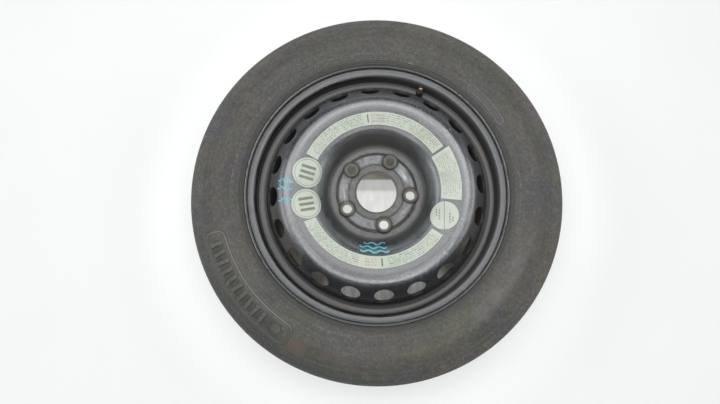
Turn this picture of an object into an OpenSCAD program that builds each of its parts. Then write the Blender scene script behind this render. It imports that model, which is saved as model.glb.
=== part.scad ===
// Narrow steel wheel with a temporary-use tyre, lying on its back side.
// Origin: centre of the hub bore on the hub mounting plane.
// +Z runs along the wheel axis, out of the visible (outboard) side.

/* [Tyre] */
// Radius of the tyre over the middle of the tread
tyre_r = 313.6; // [312:0.1:317]
// Width of the tyre across its sidewalls
section_w = 127; // [126:0.5:129]
// Depth of the grooves round the tread
groove_d = 4.8; // [2:0.1:6]
// Width of the two middle grooves
groove_mid_w = 7; // [4:0.5:9]
// Width of the two outer grooves
groove_out_w = 5; // [3:0.5:7]
// Number of slots round each shoulder
slot_count = 60; // [36:4:72]
// Width of a shoulder slot
slot_w = 2.4; // [1.5:0.1:5]

/* [Rim] */
// Radius of the bead seat at the heel
seat_r = 202.8; // [202.6:0.1:203]
// Distance between the two flanges, inside
rim_w = 88.9; // [88:0.1:90]
// Thickness of the rolled rim sheet
rim_t = 2.8; // [2.4:0.1:3]
// Radius of the valve hole
valve_hole_r = 5.7; // [5.6:0.05:5.75]
// Distance of the valve from the wheel axis
valve_at_r = 193; // [192.6:0.1:193.2]
// Angle of the valve round the wheel
valve_at_a = 67.2; // [0:0.1:359.9]

/* [Disc] */
// Thickness of the pressed disc
disc_t = 4; // [3.6:0.1:4.2]
// Distance of the mounting plane from the middle of the rim
et = 36; // [34:0.5:38]
// Radius of the hub bore
bore_r = 33.3; // [32:0.05:36]
// Diameter of the circle of bolt holes
pcd = 112; // [110:0.5:114]
// Number of bolt holes
bolt_count = 5; // [4:1:5]
// Radius of a bolt hole
bolt_r = 7.5; // [6.5:0.1:8]
// Radius of the mouth of a bolt seat
seat_mouth_r = 11.6; // [10:0.1:12]
// Angle of the first bolt hole round the wheel
bolt_at_a = 66.4; // [0:0.1:71.9]
// Number of vent holes
vent_count = 20; // [16:1:21]
// Radius of a vent hole
vent_r = 16; // [12:0.5:18]
// Angle of the first vent hole round the wheel
vent_at_a = 3.8; // [0:0.1:17.9]

/* [Welds] */
// Number of weld runs at the back of the disc
weld_count = 6; // [4:1:8]
// Angle covered by one weld run
weld_a = 30; // [15:1:40]

/* [Labels] */
// Thickness of the stuck-on labels
label_t = 0.25; // [0.15:0.05:0.4]
// Radius of the two round labels on the left
round_label_r = 24.4; // [20:0.1:25]
// Radius of the round label on the right
small_round_label_r = 23.2; // [18:0.1:25]
// Radius of the inner edge of the two long labels
arc_label_r1 = 108.4; // [106:0.1:112]
// Radius of the outer edge of the two long labels
arc_label_r2 = 128.2; // [124:0.1:132]

/* [Valve] */
// Radius of the valve stem over its thread
stem_r = 3.85; // [3.8:0.05:3.95]
// Height of the stem's tip over the rim wall
stem_h = 27; // [26.5:0.1:27.5]
// Travel of the valve pin
pin_travel = 1.5; // [1:0.1:1.6]

/* [Hidden] */
$fn = 160;

// gap left between surfaces that only touch
touch = 0.05;
half_w = rim_w / 2;
half_s = section_w / 2;
// middle surface of the well and of the valve wall of the rim
well_mid_r = 182.4;
wall_mid_z = 24.6;
wall_front_z = wall_mid_z + rim_t / 2;

// ---- paths: points [r, z, fillet radius] turned into smooth section lines ----
function unit(v) = v / norm(v);
function xy(p) = [p[0], p[1]];
function arc_pts(c, r, a0, sweep, n) =
  [for (k = [0:n]) [c[0] + r * cos(a0 + sweep * k / n), c[1] + r * sin(a0 + sweep * k / n)]];
function corner(p, q, s, r, step) =
  let (ua = unit(p - q), ub = unit(s - q),
       inner = acos(max(-1, min(1, ua * ub))),
       turn = 180 - inner)
  (r <= 0 || turn < 0.2) ? [q] :
  let (c = q + unit(ua + ub) * (r / sin(inner / 2)),
       a = q + ua * (r * tan(turn / 2)),
       a0 = atan2(a[1] - c[1], a[0] - c[0]),
       sgn = (ua[0] * ub[1] - ua[1] * ub[0]) > 0 ? -1 : 1,
       n = max(1, ceil(turn / step)))
  arc_pts(c, r, a0, sgn * turn, n);
function smooth_path(p, step = 9) = [
  for (i = [0:len(p) - 1])
    each (i == 0 || i == len(p) - 1) ? [xy(p[i])]
      : corner(xy(p[i - 1]), xy(p[i]), xy(p[i + 1]), p[i][2], step)];
// unit normal on the left of the step from a to b
function left_of(a, b) = let (u = unit(b - a)) [-u[1], u[0]];
function side_path(p, d) = [
  for (i = [0:len(p) - 1])
    let (n1 = i == 0 ? left_of(p[0], p[1]) : left_of(p[i - 1], p[i]),
         n2 = i == len(p) - 1 ? n1 : left_of(p[i], p[i + 1]),
         m = unit(n1 + n2))
    p[i] + m * (d / (m * n1))];
function backwards(p) = [for (i = [len(p) - 1:-1:0]) p[i]];
function band(p, d1, d2) = concat(side_path(p, d1), backwards(side_path(p, d2)));
function flip_z(p) = [for (q = p) [q[0], -q[1], len(q) > 2 ? q[2] : 0]];

// ---- section of the pressed disc: its middle surface, from bore to skirt ----
mid = disc_t / 2;
disc_line = [
  [bore_r + mid, et, 0],
  [bore_r + mid, et + 5.3, 2.2],
  [46, et + 5.3, 3.5],
  [49, et + 7.2, 3.5],
  [62.5, et + 7.2, 3.5],
  [67.2, et + mid, 4],
  [81, et + mid, 12],
  [98.5, 63.3, 26],
  [136, 76.2, 48],
  [156, 74.2, 22],
  [well_mid_r - rim_t / 2 - touch - mid, 46.5, 16],
  [well_mid_r - rim_t / 2 - touch - mid, -12, 0]
];
disc_mid = smooth_path(disc_line, 6);

// ---- section of the rim: its middle surface, from front lip to back lip ----
rt = rim_t / 2;
half_rim = [
  [seat_r + 13.0, half_w + 9.9, 0],
  [seat_r + 12.6, half_w + 4.2, 5.2],
  [seat_r + 6.0, half_w + rt, 4],
  [seat_r - rt, half_w + rt, 6.4],
  [seat_r - rt - 1.4, 32, 5],
  [seat_r - rt - 0.5, 29, 3]
];
rim_line = concat(
  half_rim,
  [[seat_r - rt - 0.9, wall_mid_z, 3],
   [well_mid_r, wall_mid_z, 5],
   [well_mid_r, -9, 8],
   [seat_r - rt - 1.2, -25, 6]],
  backwards(flip_z(half_rim)));
rim_mid = smooth_path(rim_line, 8);

module turned(points) {
  translate([0, 0, -et]) rotate_extrude() polygon(points);
}

// ---- tyre ----
// curve of the tyre where it lies on the lip and in the heel of the rim
lip_side = arc_pts([seat_r + 6.1, half_w + 7.95], 9.0, -5, -80, 7);
heel_side = arc_pts([seat_r + 4.95, half_w - 5.05], 4.9, 90, 90, 4);
tyre_outer = smooth_path([
  [tyre_r, 0, 0],
  [tyre_r - 0.4, 20, 120],
  [tyre_r - 2.6, 36.5, 40],
  [tyre_r - 10, 48.2, 16],
  [283, 57.6, 60],
  [266, half_s, 24],
  [247, half_s, 24],
  [229, 59.4, 30],
  [219.6, 53.2, 0]], 5);
tyre_inner = smooth_path([
  [seat_r - 1.15, 32, 0],
  [seat_r + 3.5, 29.6, 2],
  [214, 33.4, 10],
  [224, 45, 20],
  [242, half_s - 7.6, 24],
  [266, half_s - 6.8, 40],
  [292, 46.5, 26],
  [tyre_r - 11, 32, 14],
  [tyre_r - 10.6, 0, 0]], 8);
tyre_half = concat(tyre_outer, lip_side, heel_side, tyre_inner);
function lower_half(p) = [for (i = [len(p) - 2:-1:1]) [p[i][0], -p[i][1]]];

module tread_groove(z, w) {
  translate([tyre_r - 3.4 - groove_d + (abs(z) < 20 ? 3 : 0), z - w / 2]) square([groove_d + 8, w]);
}

module shoulder_slots(start) {
  for (i = [0:slot_count - 1])
    rotate([0, 0, start + i * 360 / slot_count])
      translate([tyre_r - 5.6, -slot_w / 2, 33]) cube([14, slot_w, 19]);
}

module tyre() {
  color([0.30, 0.30, 0.285])
  translate([0, 0, -et])
  difference() {
    rotate_extrude()
      difference() {
        polygon(concat(tyre_half, lower_half(tyre_half)));
        for (s = [-1, 1]) {
          tread_groove(s * 12.5, groove_mid_w);
          tread_groove(s * 31.5, groove_out_w);
        }
      }
    shoulder_slots(0);
    mirror([0, 0, 1]) shoulder_slots(180 / slot_count);
  }
}

// ---- rim ----
module rim() {
  color([0.16, 0.165, 0.175])
  difference() {
    turned(band(rim_mid, rt, -rt));
    at_valve() translate([0, 0, -8]) cylinder(h = 16, r = valve_hole_r, $fn = 64);
  }
}

// ---- disc ----
module bolt_places() {
  for (i = [0:bolt_count - 1])
    rotate([0, 0, bolt_at_a + i * 360 / bolt_count]) translate([pcd / 2, 0, 0]) children();
}
boss_top = 7.2 + mid + 2.1;
module wheel_disc() {
  color([0.13, 0.13, 0.14])
  difference() {
    union() {
      turned(band(disc_mid, mid, -mid));
      bolt_places() translate([0, 0, 2.4]) cylinder(h = boss_top - 2.4, r1 = 14.6, r2 = 12.6, $fn = 64);
    }
    bolt_places() {
      translate([0, 0, -4]) cylinder(h = 24, r = bolt_r, $fn = 48);
      translate([0, 0, boss_top - 4.2]) cylinder(h = 4.3, r1 = bolt_r, r2 = seat_mouth_r + 0.1, $fn = 48);
    }
    for (i = [0:vent_count - 1])
      rotate([0, 0, vent_at_a + i * 360 / vent_count])
        translate([170.2, 0, 57.8 - et]) rotate([0, 52, 0])
          cylinder(h = 24, r = vent_r, center = true, $fn = 64);
  }
}

// fillet runs between the back edge of the disc skirt and the rim well
module disc_welds() {
  wr = well_mid_r - rt;
  color([0.20, 0.19, 0.18])
  for (i = [0:weld_count - 1])
    rotate([0, 0, 14 + i * 360 / weld_count])
      translate([0, 0, -et]) rotate_extrude(angle = weld_a)
        polygon([[wr - 0.03, -12.03], [wr - 3.7, -12.03], [wr - 3.4, -13.3],
                 [wr - 2.2, -14.9], [wr - 0.9, -15.9], [wr - 0.03, -16.1]]);
}

// ---- valve ----
// local frame: +Z out of the rim's valve wall, 0 on its outer surface
module at_valve() {
  rotate([0, 0, valve_at_a]) translate([valve_at_r, 0, wall_front_z - et]) children();
}
module valve_turned(points) {
  at_valve() rotate_extrude($fn = 64) polygon(points);
}

module valve_rubber_body() {
  color([0.07, 0.07, 0.07])
  valve_turned([
    [2.95, -8.6], [6.6, -8.6], [7.6, -8.0], [8.0, -7.0], [8.0, -3.6], [7.6, -rim_t - 0.05],
    [valve_hole_r - 0.05, -rim_t - 0.05], [valve_hole_r - 0.05, 0.05],
    [6.1, 0.05], [6.45, 0.7], [6.5, 2.4], [6.2, 4.2], [5.7, 6.5], [5.35, 9.0],
    [5.2, 12.2], [4.9, 13.4], [4.3, 13.95], [3.4, 13.95], [2.95, 13.95],
    [2.95, 6.0], [3.35, 6.0], [3.35, 5.0], [2.95, 4.6], [2.95, 1.0], [3.35, 1.0], [3.35, 0], [2.95, -0.4]]);
}

module valve_stem() {
  color([0.72, 0.47, 0.32])
  valve_turned([
    [1.5, -9.4], [3.3, -9.4], [3.6, -9.1], [3.6, -8.65], [2.9, -8.65],
    [2.9, -0.45], [3.3, -0.05], [3.3, 0.95], [2.9, 0.95], [2.9, 4.55],
    [3.3, 4.95], [3.3, 5.95], [2.9, 5.95], [2.9, 14], [stem_r, 14],
    [stem_r, stem_h - 0.5], [stem_r - 0.5, stem_h], [2.9, stem_h], [2.65, stem_h - 0.4],
    [2.65, 17.5], [2.3, 17.3], [2.3, 11.2], [1.5, 10]]);
}

module valve_core_body() {
  color([0.80, 0.66, 0.36])
  difference() {
    valve_turned([
      [0.56, 4], [1.4, 4], [1.4, 14], [1.7, 14.2], [1.7, 18], [2.6, 18.4], [2.6, 23.7],
      [2.3, 24], [0.56, 24], [0.56, 21.6], [1.05, 21.4], [1.05, 9], [0.56, 8.8]]);
    // side windows that let the air past the spring, and the tool slot
    at_valve() {
      translate([-3, -0.45, 15]) cube([6, 0.9, 2.4]);
      translate([-3, -0.5, 22.6]) cube([6, 1, 2]);
    }
  }
}

module valve_core_gasket() {
  color([0.75, 0.16, 0.12])
  valve_turned([[1.43, 11.5], [2.1, 11.5], [2.26, 11.8], [2.26, 13.4], [1.9, 13.95], [1.43, 13.95]]);
}

// underside of the pin's head, clear of the core body at the end of the travel
head_z = 24.2 + pin_travel;
module valve_core_pin() {
  color([0.75, 0.75, 0.76])
  valve_turned([
    [0, 0.6], [0.5, 0.6], [0.5, 19.2], [0.85, 19.3], [0.85, 19.8], [0.5, 19.9],
    [0.5, head_z], [0.72, head_z + 0.15], [0.72, head_z + 0.65], [0.55, head_z + 0.8], [0, head_z + 0.8]]);
}

// return spring: a round wire led along a helix round the pin
spring_r = 0.74;
wire_r = 0.12;
spring_lo = 9.2;
spring_hi = 19.0;
spring_turns = 6;
ring_n = 11;
wire_n = 6;
spring_rings = spring_turns * ring_n;
function spring_point(i, j) =
  let (a = 360 * i / ring_n,
       z = spring_lo + wire_r + (spring_hi - spring_lo - 2 * wire_r) * i / spring_rings,
       b = 360 * j / wire_n,
       r = spring_r + wire_r * cos(b))
  [r * cos(a), r * sin(a), z + wire_r * sin(b)];
module valve_core_spring() {
  color([0.6, 0.6, 0.62])
  at_valve()
  polyhedron(
    points = [for (i = [0:spring_rings]) for (j = [0:wire_n - 1]) spring_point(i, j)],
    faces = concat(
      [[for (j = [0:wire_n - 1]) j]],
      [for (i = [0:spring_rings - 1]) for (j = [0:wire_n - 1])
        let (k = (j + 1) % wire_n)
        each [[i * wire_n + j, (i + 1) * wire_n + j, (i + 1) * wire_n + k],
              [i * wire_n + j, (i + 1) * wire_n + k, i * wire_n + k]]],
      [[for (j = [wire_n - 1:-1:0]) spring_rings * wire_n + j]]));
}

module valve_core_cup() {
  color([0.80, 0.66, 0.36])
  valve_turned([[0.52, 0.9], [1.1, 0.9], [1.25, 1.1], [1.25, 3.2], [1.1, 3.2], [1.1, 2.2], [0.52, 2.2]]);
}

module valve_core_seal() {
  color([0.10, 0.10, 0.10])
  valve_turned([[0.52, 2.22], [1.08, 2.22], [1.08, 3.5], [0.95, 3.96], [0.62, 3.96], [0.52, 3.8]]);
}

// ---- labels, each a thin skin on the front of the disc ----
label_mid = [for (p = disc_mid) if (p[0] > 84 && p[0] < 150) p];
label_band = band(label_mid, mid + 0.03 + label_t, mid + 0.03);
module label_skin(r1, r2, a0, a1) {
  rotate([0, 0, a0]) translate([0, 0, -et]) rotate_extrude(angle = a1 - a0)
    intersection() {
      polygon(label_band);
      translate([r1, 40]) square([r2 - r1, 60]);
    }
}
module long_label_upper() {
  color([0.78, 0.84, 0.72]) label_skin(arc_label_r1, arc_label_r2, 33.2, 153.6);
}
module long_label_lower() {
  color([0.78, 0.84, 0.72]) label_skin(arc_label_r1, arc_label_r2, 205.2, 324.2);
}
module wide_label() {
  color([0.78, 0.84, 0.72]) label_skin(103.8, 135.6, -8, 31.2);
}
module round_label(a, r, label_r) {
  color([0.80, 0.85, 0.74])
  intersection() {
    translate([0, 0, -et]) rotate_extrude() polygon(label_band);
    rotate([0, 0, a]) translate([r, 0, 71 - et]) rotate([0, -22, 0])
      cylinder(h = 44, r = label_r, center = true, $fn = 96);
  }
}
module round_label_a() { round_label(166.7, 115.6, round_label_r); }
module round_label_b() { round_label(192.5, 115.6, round_label_r); }
module round_label_c() { round_label(338.2, 115.6, small_round_label_r); }

tyre();
rim();
wheel_disc();
disc_welds();
valve_rubber_body();
valve_stem();
valve_core_body();
valve_core_gasket();
valve_core_pin();
valve_core_spring();
valve_core_cup();
valve_core_seal();
long_label_upper();
long_label_lower();
wide_label();
round_label_a();
round_label_b();
round_label_c();
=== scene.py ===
import math
import random

import bpy
import numpy as np
from mathutils import Matrix, Vector


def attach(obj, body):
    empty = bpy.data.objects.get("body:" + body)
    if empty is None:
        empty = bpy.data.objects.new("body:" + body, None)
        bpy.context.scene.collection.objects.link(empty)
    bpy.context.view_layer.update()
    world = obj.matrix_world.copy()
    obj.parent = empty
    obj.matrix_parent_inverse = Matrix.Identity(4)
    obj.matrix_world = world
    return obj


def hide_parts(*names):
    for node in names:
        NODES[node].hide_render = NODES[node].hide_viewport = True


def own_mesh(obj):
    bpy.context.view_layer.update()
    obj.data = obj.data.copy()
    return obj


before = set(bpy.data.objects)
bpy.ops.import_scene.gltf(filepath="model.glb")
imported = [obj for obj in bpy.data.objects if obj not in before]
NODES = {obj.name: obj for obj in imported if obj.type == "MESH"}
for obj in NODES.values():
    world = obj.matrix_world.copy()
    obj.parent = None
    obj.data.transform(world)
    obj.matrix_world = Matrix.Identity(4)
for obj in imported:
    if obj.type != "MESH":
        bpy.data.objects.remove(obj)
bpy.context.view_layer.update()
SC = bpy.context.scene
MM = 0.001
ET = 36.0          # mounting plane to the middle of the rim, mm
TYRE_R = 313.6
SEAT_R = 202.8
HALF_W = 44.45
HALF_S = 63.5


# ------------------------------------------------------------------ section curves (mm)
def unit(v):
    return v / np.linalg.norm(v)


def corner(p, q, s, r, step):
    ua, ub = unit(p - q), unit(s - q)
    inner = math.degrees(math.acos(max(-1, min(1, float(ua @ ub)))))
    turn = 180 - inner
    if r <= 0 or turn < 0.2:
        return [q]
    c = q + unit(ua + ub) * (r / math.sin(math.radians(inner / 2)))
    a = q + ua * (r * math.tan(math.radians(turn / 2)))
    a0 = math.degrees(math.atan2(a[1] - c[1], a[0] - c[0]))
    sg = -1 if ua[0] * ub[1] - ua[1] * ub[0] > 0 else 1
    n = max(1, math.ceil(turn / step))
    out = []
    for k in range(n + 1):
        t = math.radians(a0 + sg * turn * k / n)
        out.append(c + r * np.array([math.cos(t), math.sin(t)]))
    return out


def smooth_path(p, step):
    P = [np.array(q[:2], float) for q in p]
    out = [P[0]]
    for i in range(1, len(p) - 1):
        out += corner(P[i - 1], P[i], P[i + 1], p[i][2], step)
    out.append(P[-1])
    return np.array(out)


def arc_pts(c, r, a0, sweep, n):
    return np.array([[c[0] + r * math.cos(math.radians(a0 + sweep * k / n)),
                      c[1] + r * math.sin(math.radians(a0 + sweep * k / n))] for k in range(n + 1)])


def offset_path(p, d):
    out = []
    for i in range(len(p)):
        def left(a, b):
            u = unit(b - a)
            return np.array([-u[1], u[0]])
        n1 = left(p[0], p[1]) if i == 0 else left(p[i - 1], p[i])
        n2 = n1 if i == len(p) - 1 else left(p[i], p[i + 1])
        m = unit(n1 + n2)
        out.append(p[i] + m * (d / float(m @ n1)))
    return np.array(out)


disc_mid = smooth_path([
    [35.3, ET, 0], [35.3, ET + 5.3, 2.2], [46, ET + 5.3, 3.5], [49, ET + 7.2, 3.5], [62.5, ET + 7.2, 3.5],
    [67.2, ET + 2, 4], [81, ET + 2, 12], [98.5, 63.3, 26], [136, 76.2, 48], [156, 74.2, 22],
    [178.95, 46.5, 16], [178.95, -12, 0]], 3)
disc_front = offset_path(disc_mid, 2.0)
disc_front[:, 1] -= ET


def disc_z(r):
    """Height of the disc's front surface over the mounting plane, between the moat and the shoulder."""
    k = (disc_front[:, 0] > 64) & (disc_front[:, 0] < 180.5)
    f = disc_front[k]
    o = np.argsort(f[:, 0])
    return float(np.interp(r, f[o, 0], f[o, 1]))


tyre_outer = smooth_path([
    [TYRE_R, 0, 0], [TYRE_R - 0.4, 20, 120], [TYRE_R - 2.6, 36.5, 40], [TYRE_R - 10, 48.2, 16],
    [283, 57.6, 60], [266, HALF_S, 24], [247, HALF_S, 24], [229, 59.4, 30], [219.6, 53.2, 0]], 4)
lip_side = arc_pts([SEAT_R + 6.1, HALF_W + 7.95], 9.0, -5, -80, 7)
heel_side = arc_pts([SEAT_R + 4.95, HALF_W - 5.05], 4.9, 90, 90, 4)
tyre_inner = smooth_path([
    [SEAT_R - 1.15, 32, 0], [SEAT_R + 3.5, 29.6, 2], [214, 33.4, 10], [224, 45, 20],
    [242, HALF_S - 7.6, 24], [266, HALF_S - 6.8, 40], [292, 46.5, 26], [TYRE_R - 11, 32, 14], [TYRE_R - 10.6, 0, 0]], 12)


def tyre_surface(r):
    """(z over the rim's middle, slope dz/dr) of the visible sidewall at radius r."""
    k = (tyre_outer[:, 1] > 50)
    f = tyre_outer[k]
    o = np.argsort(f[:, 0])
    z = float(np.interp(r, f[o, 0], f[o, 1]))
    dz = float(np.interp(r + 1.0, f[o, 0], f[o, 1]) - np.interp(r - 1.0, f[o, 0], f[o, 1])) / 2
    return z, dz


# ------------------------------------------------------------------ mesh helpers
def make_object(name, verts, faces, body="wheel", smooth=True):
    me = bpy.data.meshes.new(name)
    me.from_pydata([tuple(v) for v in verts], [], faces)
    me.validate()
    me.update()
    if smooth:
        me.polygons.foreach_set("use_smooth", [True] * len(me.polygons))
    ob = bpy.data.objects.new(name, me)
    SC.collection.objects.link(ob)
    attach(ob, body)
    return ob


def edge_split(ob, deg):
    m = ob.modifiers.new("edges", "EDGE_SPLIT")
    m.split_angle = math.radians(deg)
    m.use_edge_sharp = False
    return m


def soften(ob, weld=0.000002, deg=28, bevel=0.0, segments=2):
    """Smooth shading for a carried-over node: its vertices are joined, sharp edges get a small bevel, the rest is shaded round."""
    w = ob.modifiers.new("weld", "WELD")
    w.merge_threshold = weld
    if bevel:
        b = ob.modifiers.new("bevel", "BEVEL")
        b.width = bevel
        b.segments = segments
        b.limit_method = "ANGLE"
        b.angle_limit = math.radians(40)
        b.harden_normals = False
    return edge_split(ob, deg)


# ------------------------------------------------------------------ shader helpers
class Mat:
    def __init__(self, name):
        self.m = bpy.data.materials.new(name)
        self.m.use_nodes = True
        self.nt = self.m.node_tree
        self.nt.nodes.clear()
        self.out = self.nt.nodes.new("ShaderNodeOutputMaterial")
        self.b = self.nt.nodes.new("ShaderNodeBsdfPrincipled")
        self.nt.links.new(self.b.outputs[0], self.out.inputs[0])
        self._co = None

    def put(self, sock, v):
        if isinstance(v, bpy.types.NodeSocket):
            self.nt.links.new(v, sock)
        else:
            if sock.type == "RGBA" and len(v) == 3:
                v = (*v, 1.0)
            sock.default_value = v

    def co(self):
        if self._co is None:
            t = self.nt.nodes.new("ShaderNodeTexCoord")
            self._co = t.outputs["Object"]
            s = self.nt.nodes.new("ShaderNodeSeparateXYZ")
            self.nt.links.new(self._co, s.inputs[0])
            self.x, self.y, self.z = s.outputs
            r2 = self.f("ADD", self.f("MULTIPLY", self.x, self.x), self.f("MULTIPLY", self.y, self.y))
            self.r = self.f("MULTIPLY", self.f("SQRT", r2), 1000.0)      # mm
            self.a = self.f("MULTIPLY", self.f("ARCTAN2", self.y, self.x), 180 / math.pi)  # -180..180
            self.zm = self.f("MULTIPLY", self.z, 1000.0)
        return self._co

    def f(self, op, a, b=0.0, c=0.0, clamp=False):
        n = self.nt.nodes.new("ShaderNodeMath")
        n.operation = op
        n.use_clamp = clamp
        self.put(n.inputs[0], a)
        self.put(n.inputs[1], b)
        self.put(n.inputs[2], c)
        return n.outputs[0]

    def vec(self, x, y, z):
        n = self.nt.nodes.new("ShaderNodeCombineXYZ")
        for i, v in enumerate((x, y, z)):
            self.put(n.inputs[i], v)
        return n.outputs[0]

    def noise(self, scale, detail=3.0, rough=0.55, vec=None, w=None, distort=0.0):
        n = self.nt.nodes.new("ShaderNodeTexNoise")
        n.noise_dimensions = "3D"
        self.put(n.inputs["Vector"], vec if vec is not None else self.co())
        n.inputs["Scale"].default_value = scale
        n.inputs["Detail"].default_value = detail
        n.inputs["Roughness"].default_value = rough
        n.inputs["Distortion"].default_value = distort
        return n.outputs["Fac"]

    def shifted(self, dx, dy, dz):
        n = self.nt.nodes.new("ShaderNodeVectorMath")
        n.operation = "ADD"
        self.put(n.inputs[0], self.co())
        n.inputs[1].default_value = (dx, dy, dz)
        return n.outputs[0]

    def polar(self, kr, ka, kz=0.0):
        """Coordinates that follow the wheel: radius, way round and height, each with its own stretch."""
        self.co()
        return self.vec(self.f("MULTIPLY", self.r, kr), self.f("MULTIPLY", self.ang(), ka),
                        self.f("MULTIPLY", self.zm, kz))

    def ang(self):
        self.co()
        return self.a

    def step(self, v, lo, hi, a=0.0, b=1.0):
        n = self.nt.nodes.new("ShaderNodeMapRange")
        n.interpolation_type = "SMOOTHSTEP"
        n.clamp = True
        self.put(n.inputs["Value"], v)
        n.inputs["From Min"].default_value = lo
        n.inputs["From Max"].default_value = hi
        n.inputs["To Min"].default_value = a
        n.inputs["To Max"].default_value = b
        return n.outputs[0]

    def window(self, v, lo, hi, soft):
        return self.f("MULTIPLY", self.step(v, lo - soft, lo + soft), self.step(v, hi - soft, hi + soft, 1.0, 0.0))

    def angwin(self, centre, half, soft):
        """1 within half degrees of the angle centre, round the wheel."""
        self.co()
        d = self.f("SUBTRACT", self.a, centre)
        d = self.f("SUBTRACT", self.f("MODULO", self.f("ADD", d, 720.0 + 180.0), 360.0), 180.0)
        d = self.f("ABSOLUTE", d)
        return self.step(d, half - soft, half + soft, 1.0, 0.0)

    def mix(self, f, a, b, mode="MIX"):
        n = self.nt.nodes.new("ShaderNodeMix")
        n.data_type = "RGBA"
        n.blend_type = mode
        n.clamp_factor = True
        self.put(n.inputs["Factor"], f)
        ins = [s for s in n.inputs if s.type == "RGBA"]
        self.put(ins[0], a)
        self.put(ins[1], b)
        return [s for s in n.outputs if s.type == "RGBA"][0]

    def lerp(self, f, a, b):
        n = self.nt.nodes.new("ShaderNodeMix")
        n.data_type = "FLOAT"
        n.clamp_factor = True
        ins = [s for s in n.inputs if s.type == "VALUE"]
        self.put(ins[0], f)
        self.put(ins[1], a)
        self.put(ins[2], b)
        return [s for s in n.outputs if s.type == "VALUE"][0]

    def voronoi(self, scale, vec=None, feature="F1", rnd=1.0):
        n = self.nt.nodes.new("ShaderNodeTexVoronoi")
        n.feature = feature
        n.inputs["Scale"].default_value = scale
        n.inputs["Randomness"].default_value = rnd
        self.put(n.inputs["Vector"], vec if vec is not None else self.co())
        return n.outputs["Distance"]

    def bump(self, height, strength, distance, normal=None):
        n = self.nt.nodes.new("ShaderNodeBump")
        n.inputs["Strength"].default_value = strength
        n.inputs["Distance"].default_value = distance
        self.put(n.inputs["Height"], height)
        if normal is not None:
            self.put(n.inputs["Normal"], normal)
        return n.outputs[0]

    def finish(self, color=None, rough=None, metal=None, normal=None, **consts):
        if color is not None:
            self.put(self.b.inputs["Base Color"], color)
        if rough is not None:
            self.put(self.b.inputs["Roughness"], rough)
        if metal is not None:
            self.put(self.b.inputs["Metallic"], metal)
        if normal is not None:
            self.put(self.b.inputs["Normal"], normal)
        for k, v in consts.items():
            self.b.inputs[k.replace("_", " ")].default_value = v
        return self.m


def lin(r, g, b):
    """Colour as seen in the photograph (0-255) to linear."""
    def one(c):
        c /= 255
        return c / 12.92 if c <= 0.04045 else ((c + 0.055) / 1.055) ** 2.4
    return (one(r), one(g), one(b))


def tint(c, k):
    return tuple(min(1.0, v * k) for v in c)


def set_material(ob, mat):
    if not ob.material_slots:
        ob.data.materials.append(mat)
    for s in ob.material_slots:
        s.material = mat


# ------------------------------------------------------------------ camera (72 dpi pinhole fitted to the hub, rim and tyre outlines)
def camera():
    D, th, al, u0, v0, f = 975.96, math.radians(10.48), math.radians(-7.54), 375.96, 196.78, 561.97
    C = D * np.array([math.sin(th) * math.sin(al), -math.sin(th) * math.cos(al), math.cos(th)])
    d = -C / np.linalg.norm(C)
    r = unit(np.array([(u0 - 360) / f, -(v0 - 202) / f, -1.0]))
    z = -d
    x = unit(np.cross(np.array([0, 1.0, 0]), z))
    y = np.cross(z, x)
    R0 = np.array([x, y, z])
    a = np.array([0, 0, -1.0])
    v = np.cross(a, r)
    K = np.array([[0, -v[2], v[1]], [v[2], 0, -v[0]], [-v[1], v[0], 0]])
    Q = np.eye(3) + K + K @ K / (1 + float(a @ r))
    R = Q @ R0
    M = Matrix([list(row) for row in R.T]).to_4x4()
    M.translation = Vector((C[0] * MM, C[1] * MM, (C[2] - ET) * MM))
    cd = bpy.data.cameras.new("camera")
    cd.sensor_width = 36.0
    cd.lens = f * 36.0 / 720.0
    cd.clip_start, cd.clip_end = 0.02, 50
    cam = bpy.data.objects.new("camera", cd)
    cam.matrix_world = M
    SC.collection.objects.link(cam)
    SC.camera = cam


camera()


# ------------------------------------------------------------------ tyre
def tyre_columns():
    """Angles round the tyre, in degrees: dense at the shoulder slots and tread sipes, so that their walls stand up."""
    out = []
    hw, e = 0.2186, 0.03
    for k in range(60):
        base = 6.0 * k
        off = [-hw - e, -hw + e, hw - e, hw + e, 1.15, 1.5 - 0.11, 1.5, 1.5 + 0.11, 2.1,
               3 - hw - e, 3 - hw + e, 3 + hw - e, 3 + hw + e, 3.9, 4.5 - 0.11, 4.5, 4.5 + 0.11, 5.1]
        out += [base + o for o in off]
    return np.array(out)


def slot_mask(a, centre):
    d = np.abs((a - centre + 3.0) % 6.0 - 3.0)
    return (d < 0.2186).astype(float)


def sipe_mask(a, centre):
    d = np.abs((a - centre + 3.0) % 6.0 - 3.0)
    return (d < 0.02).astype(float)


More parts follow.
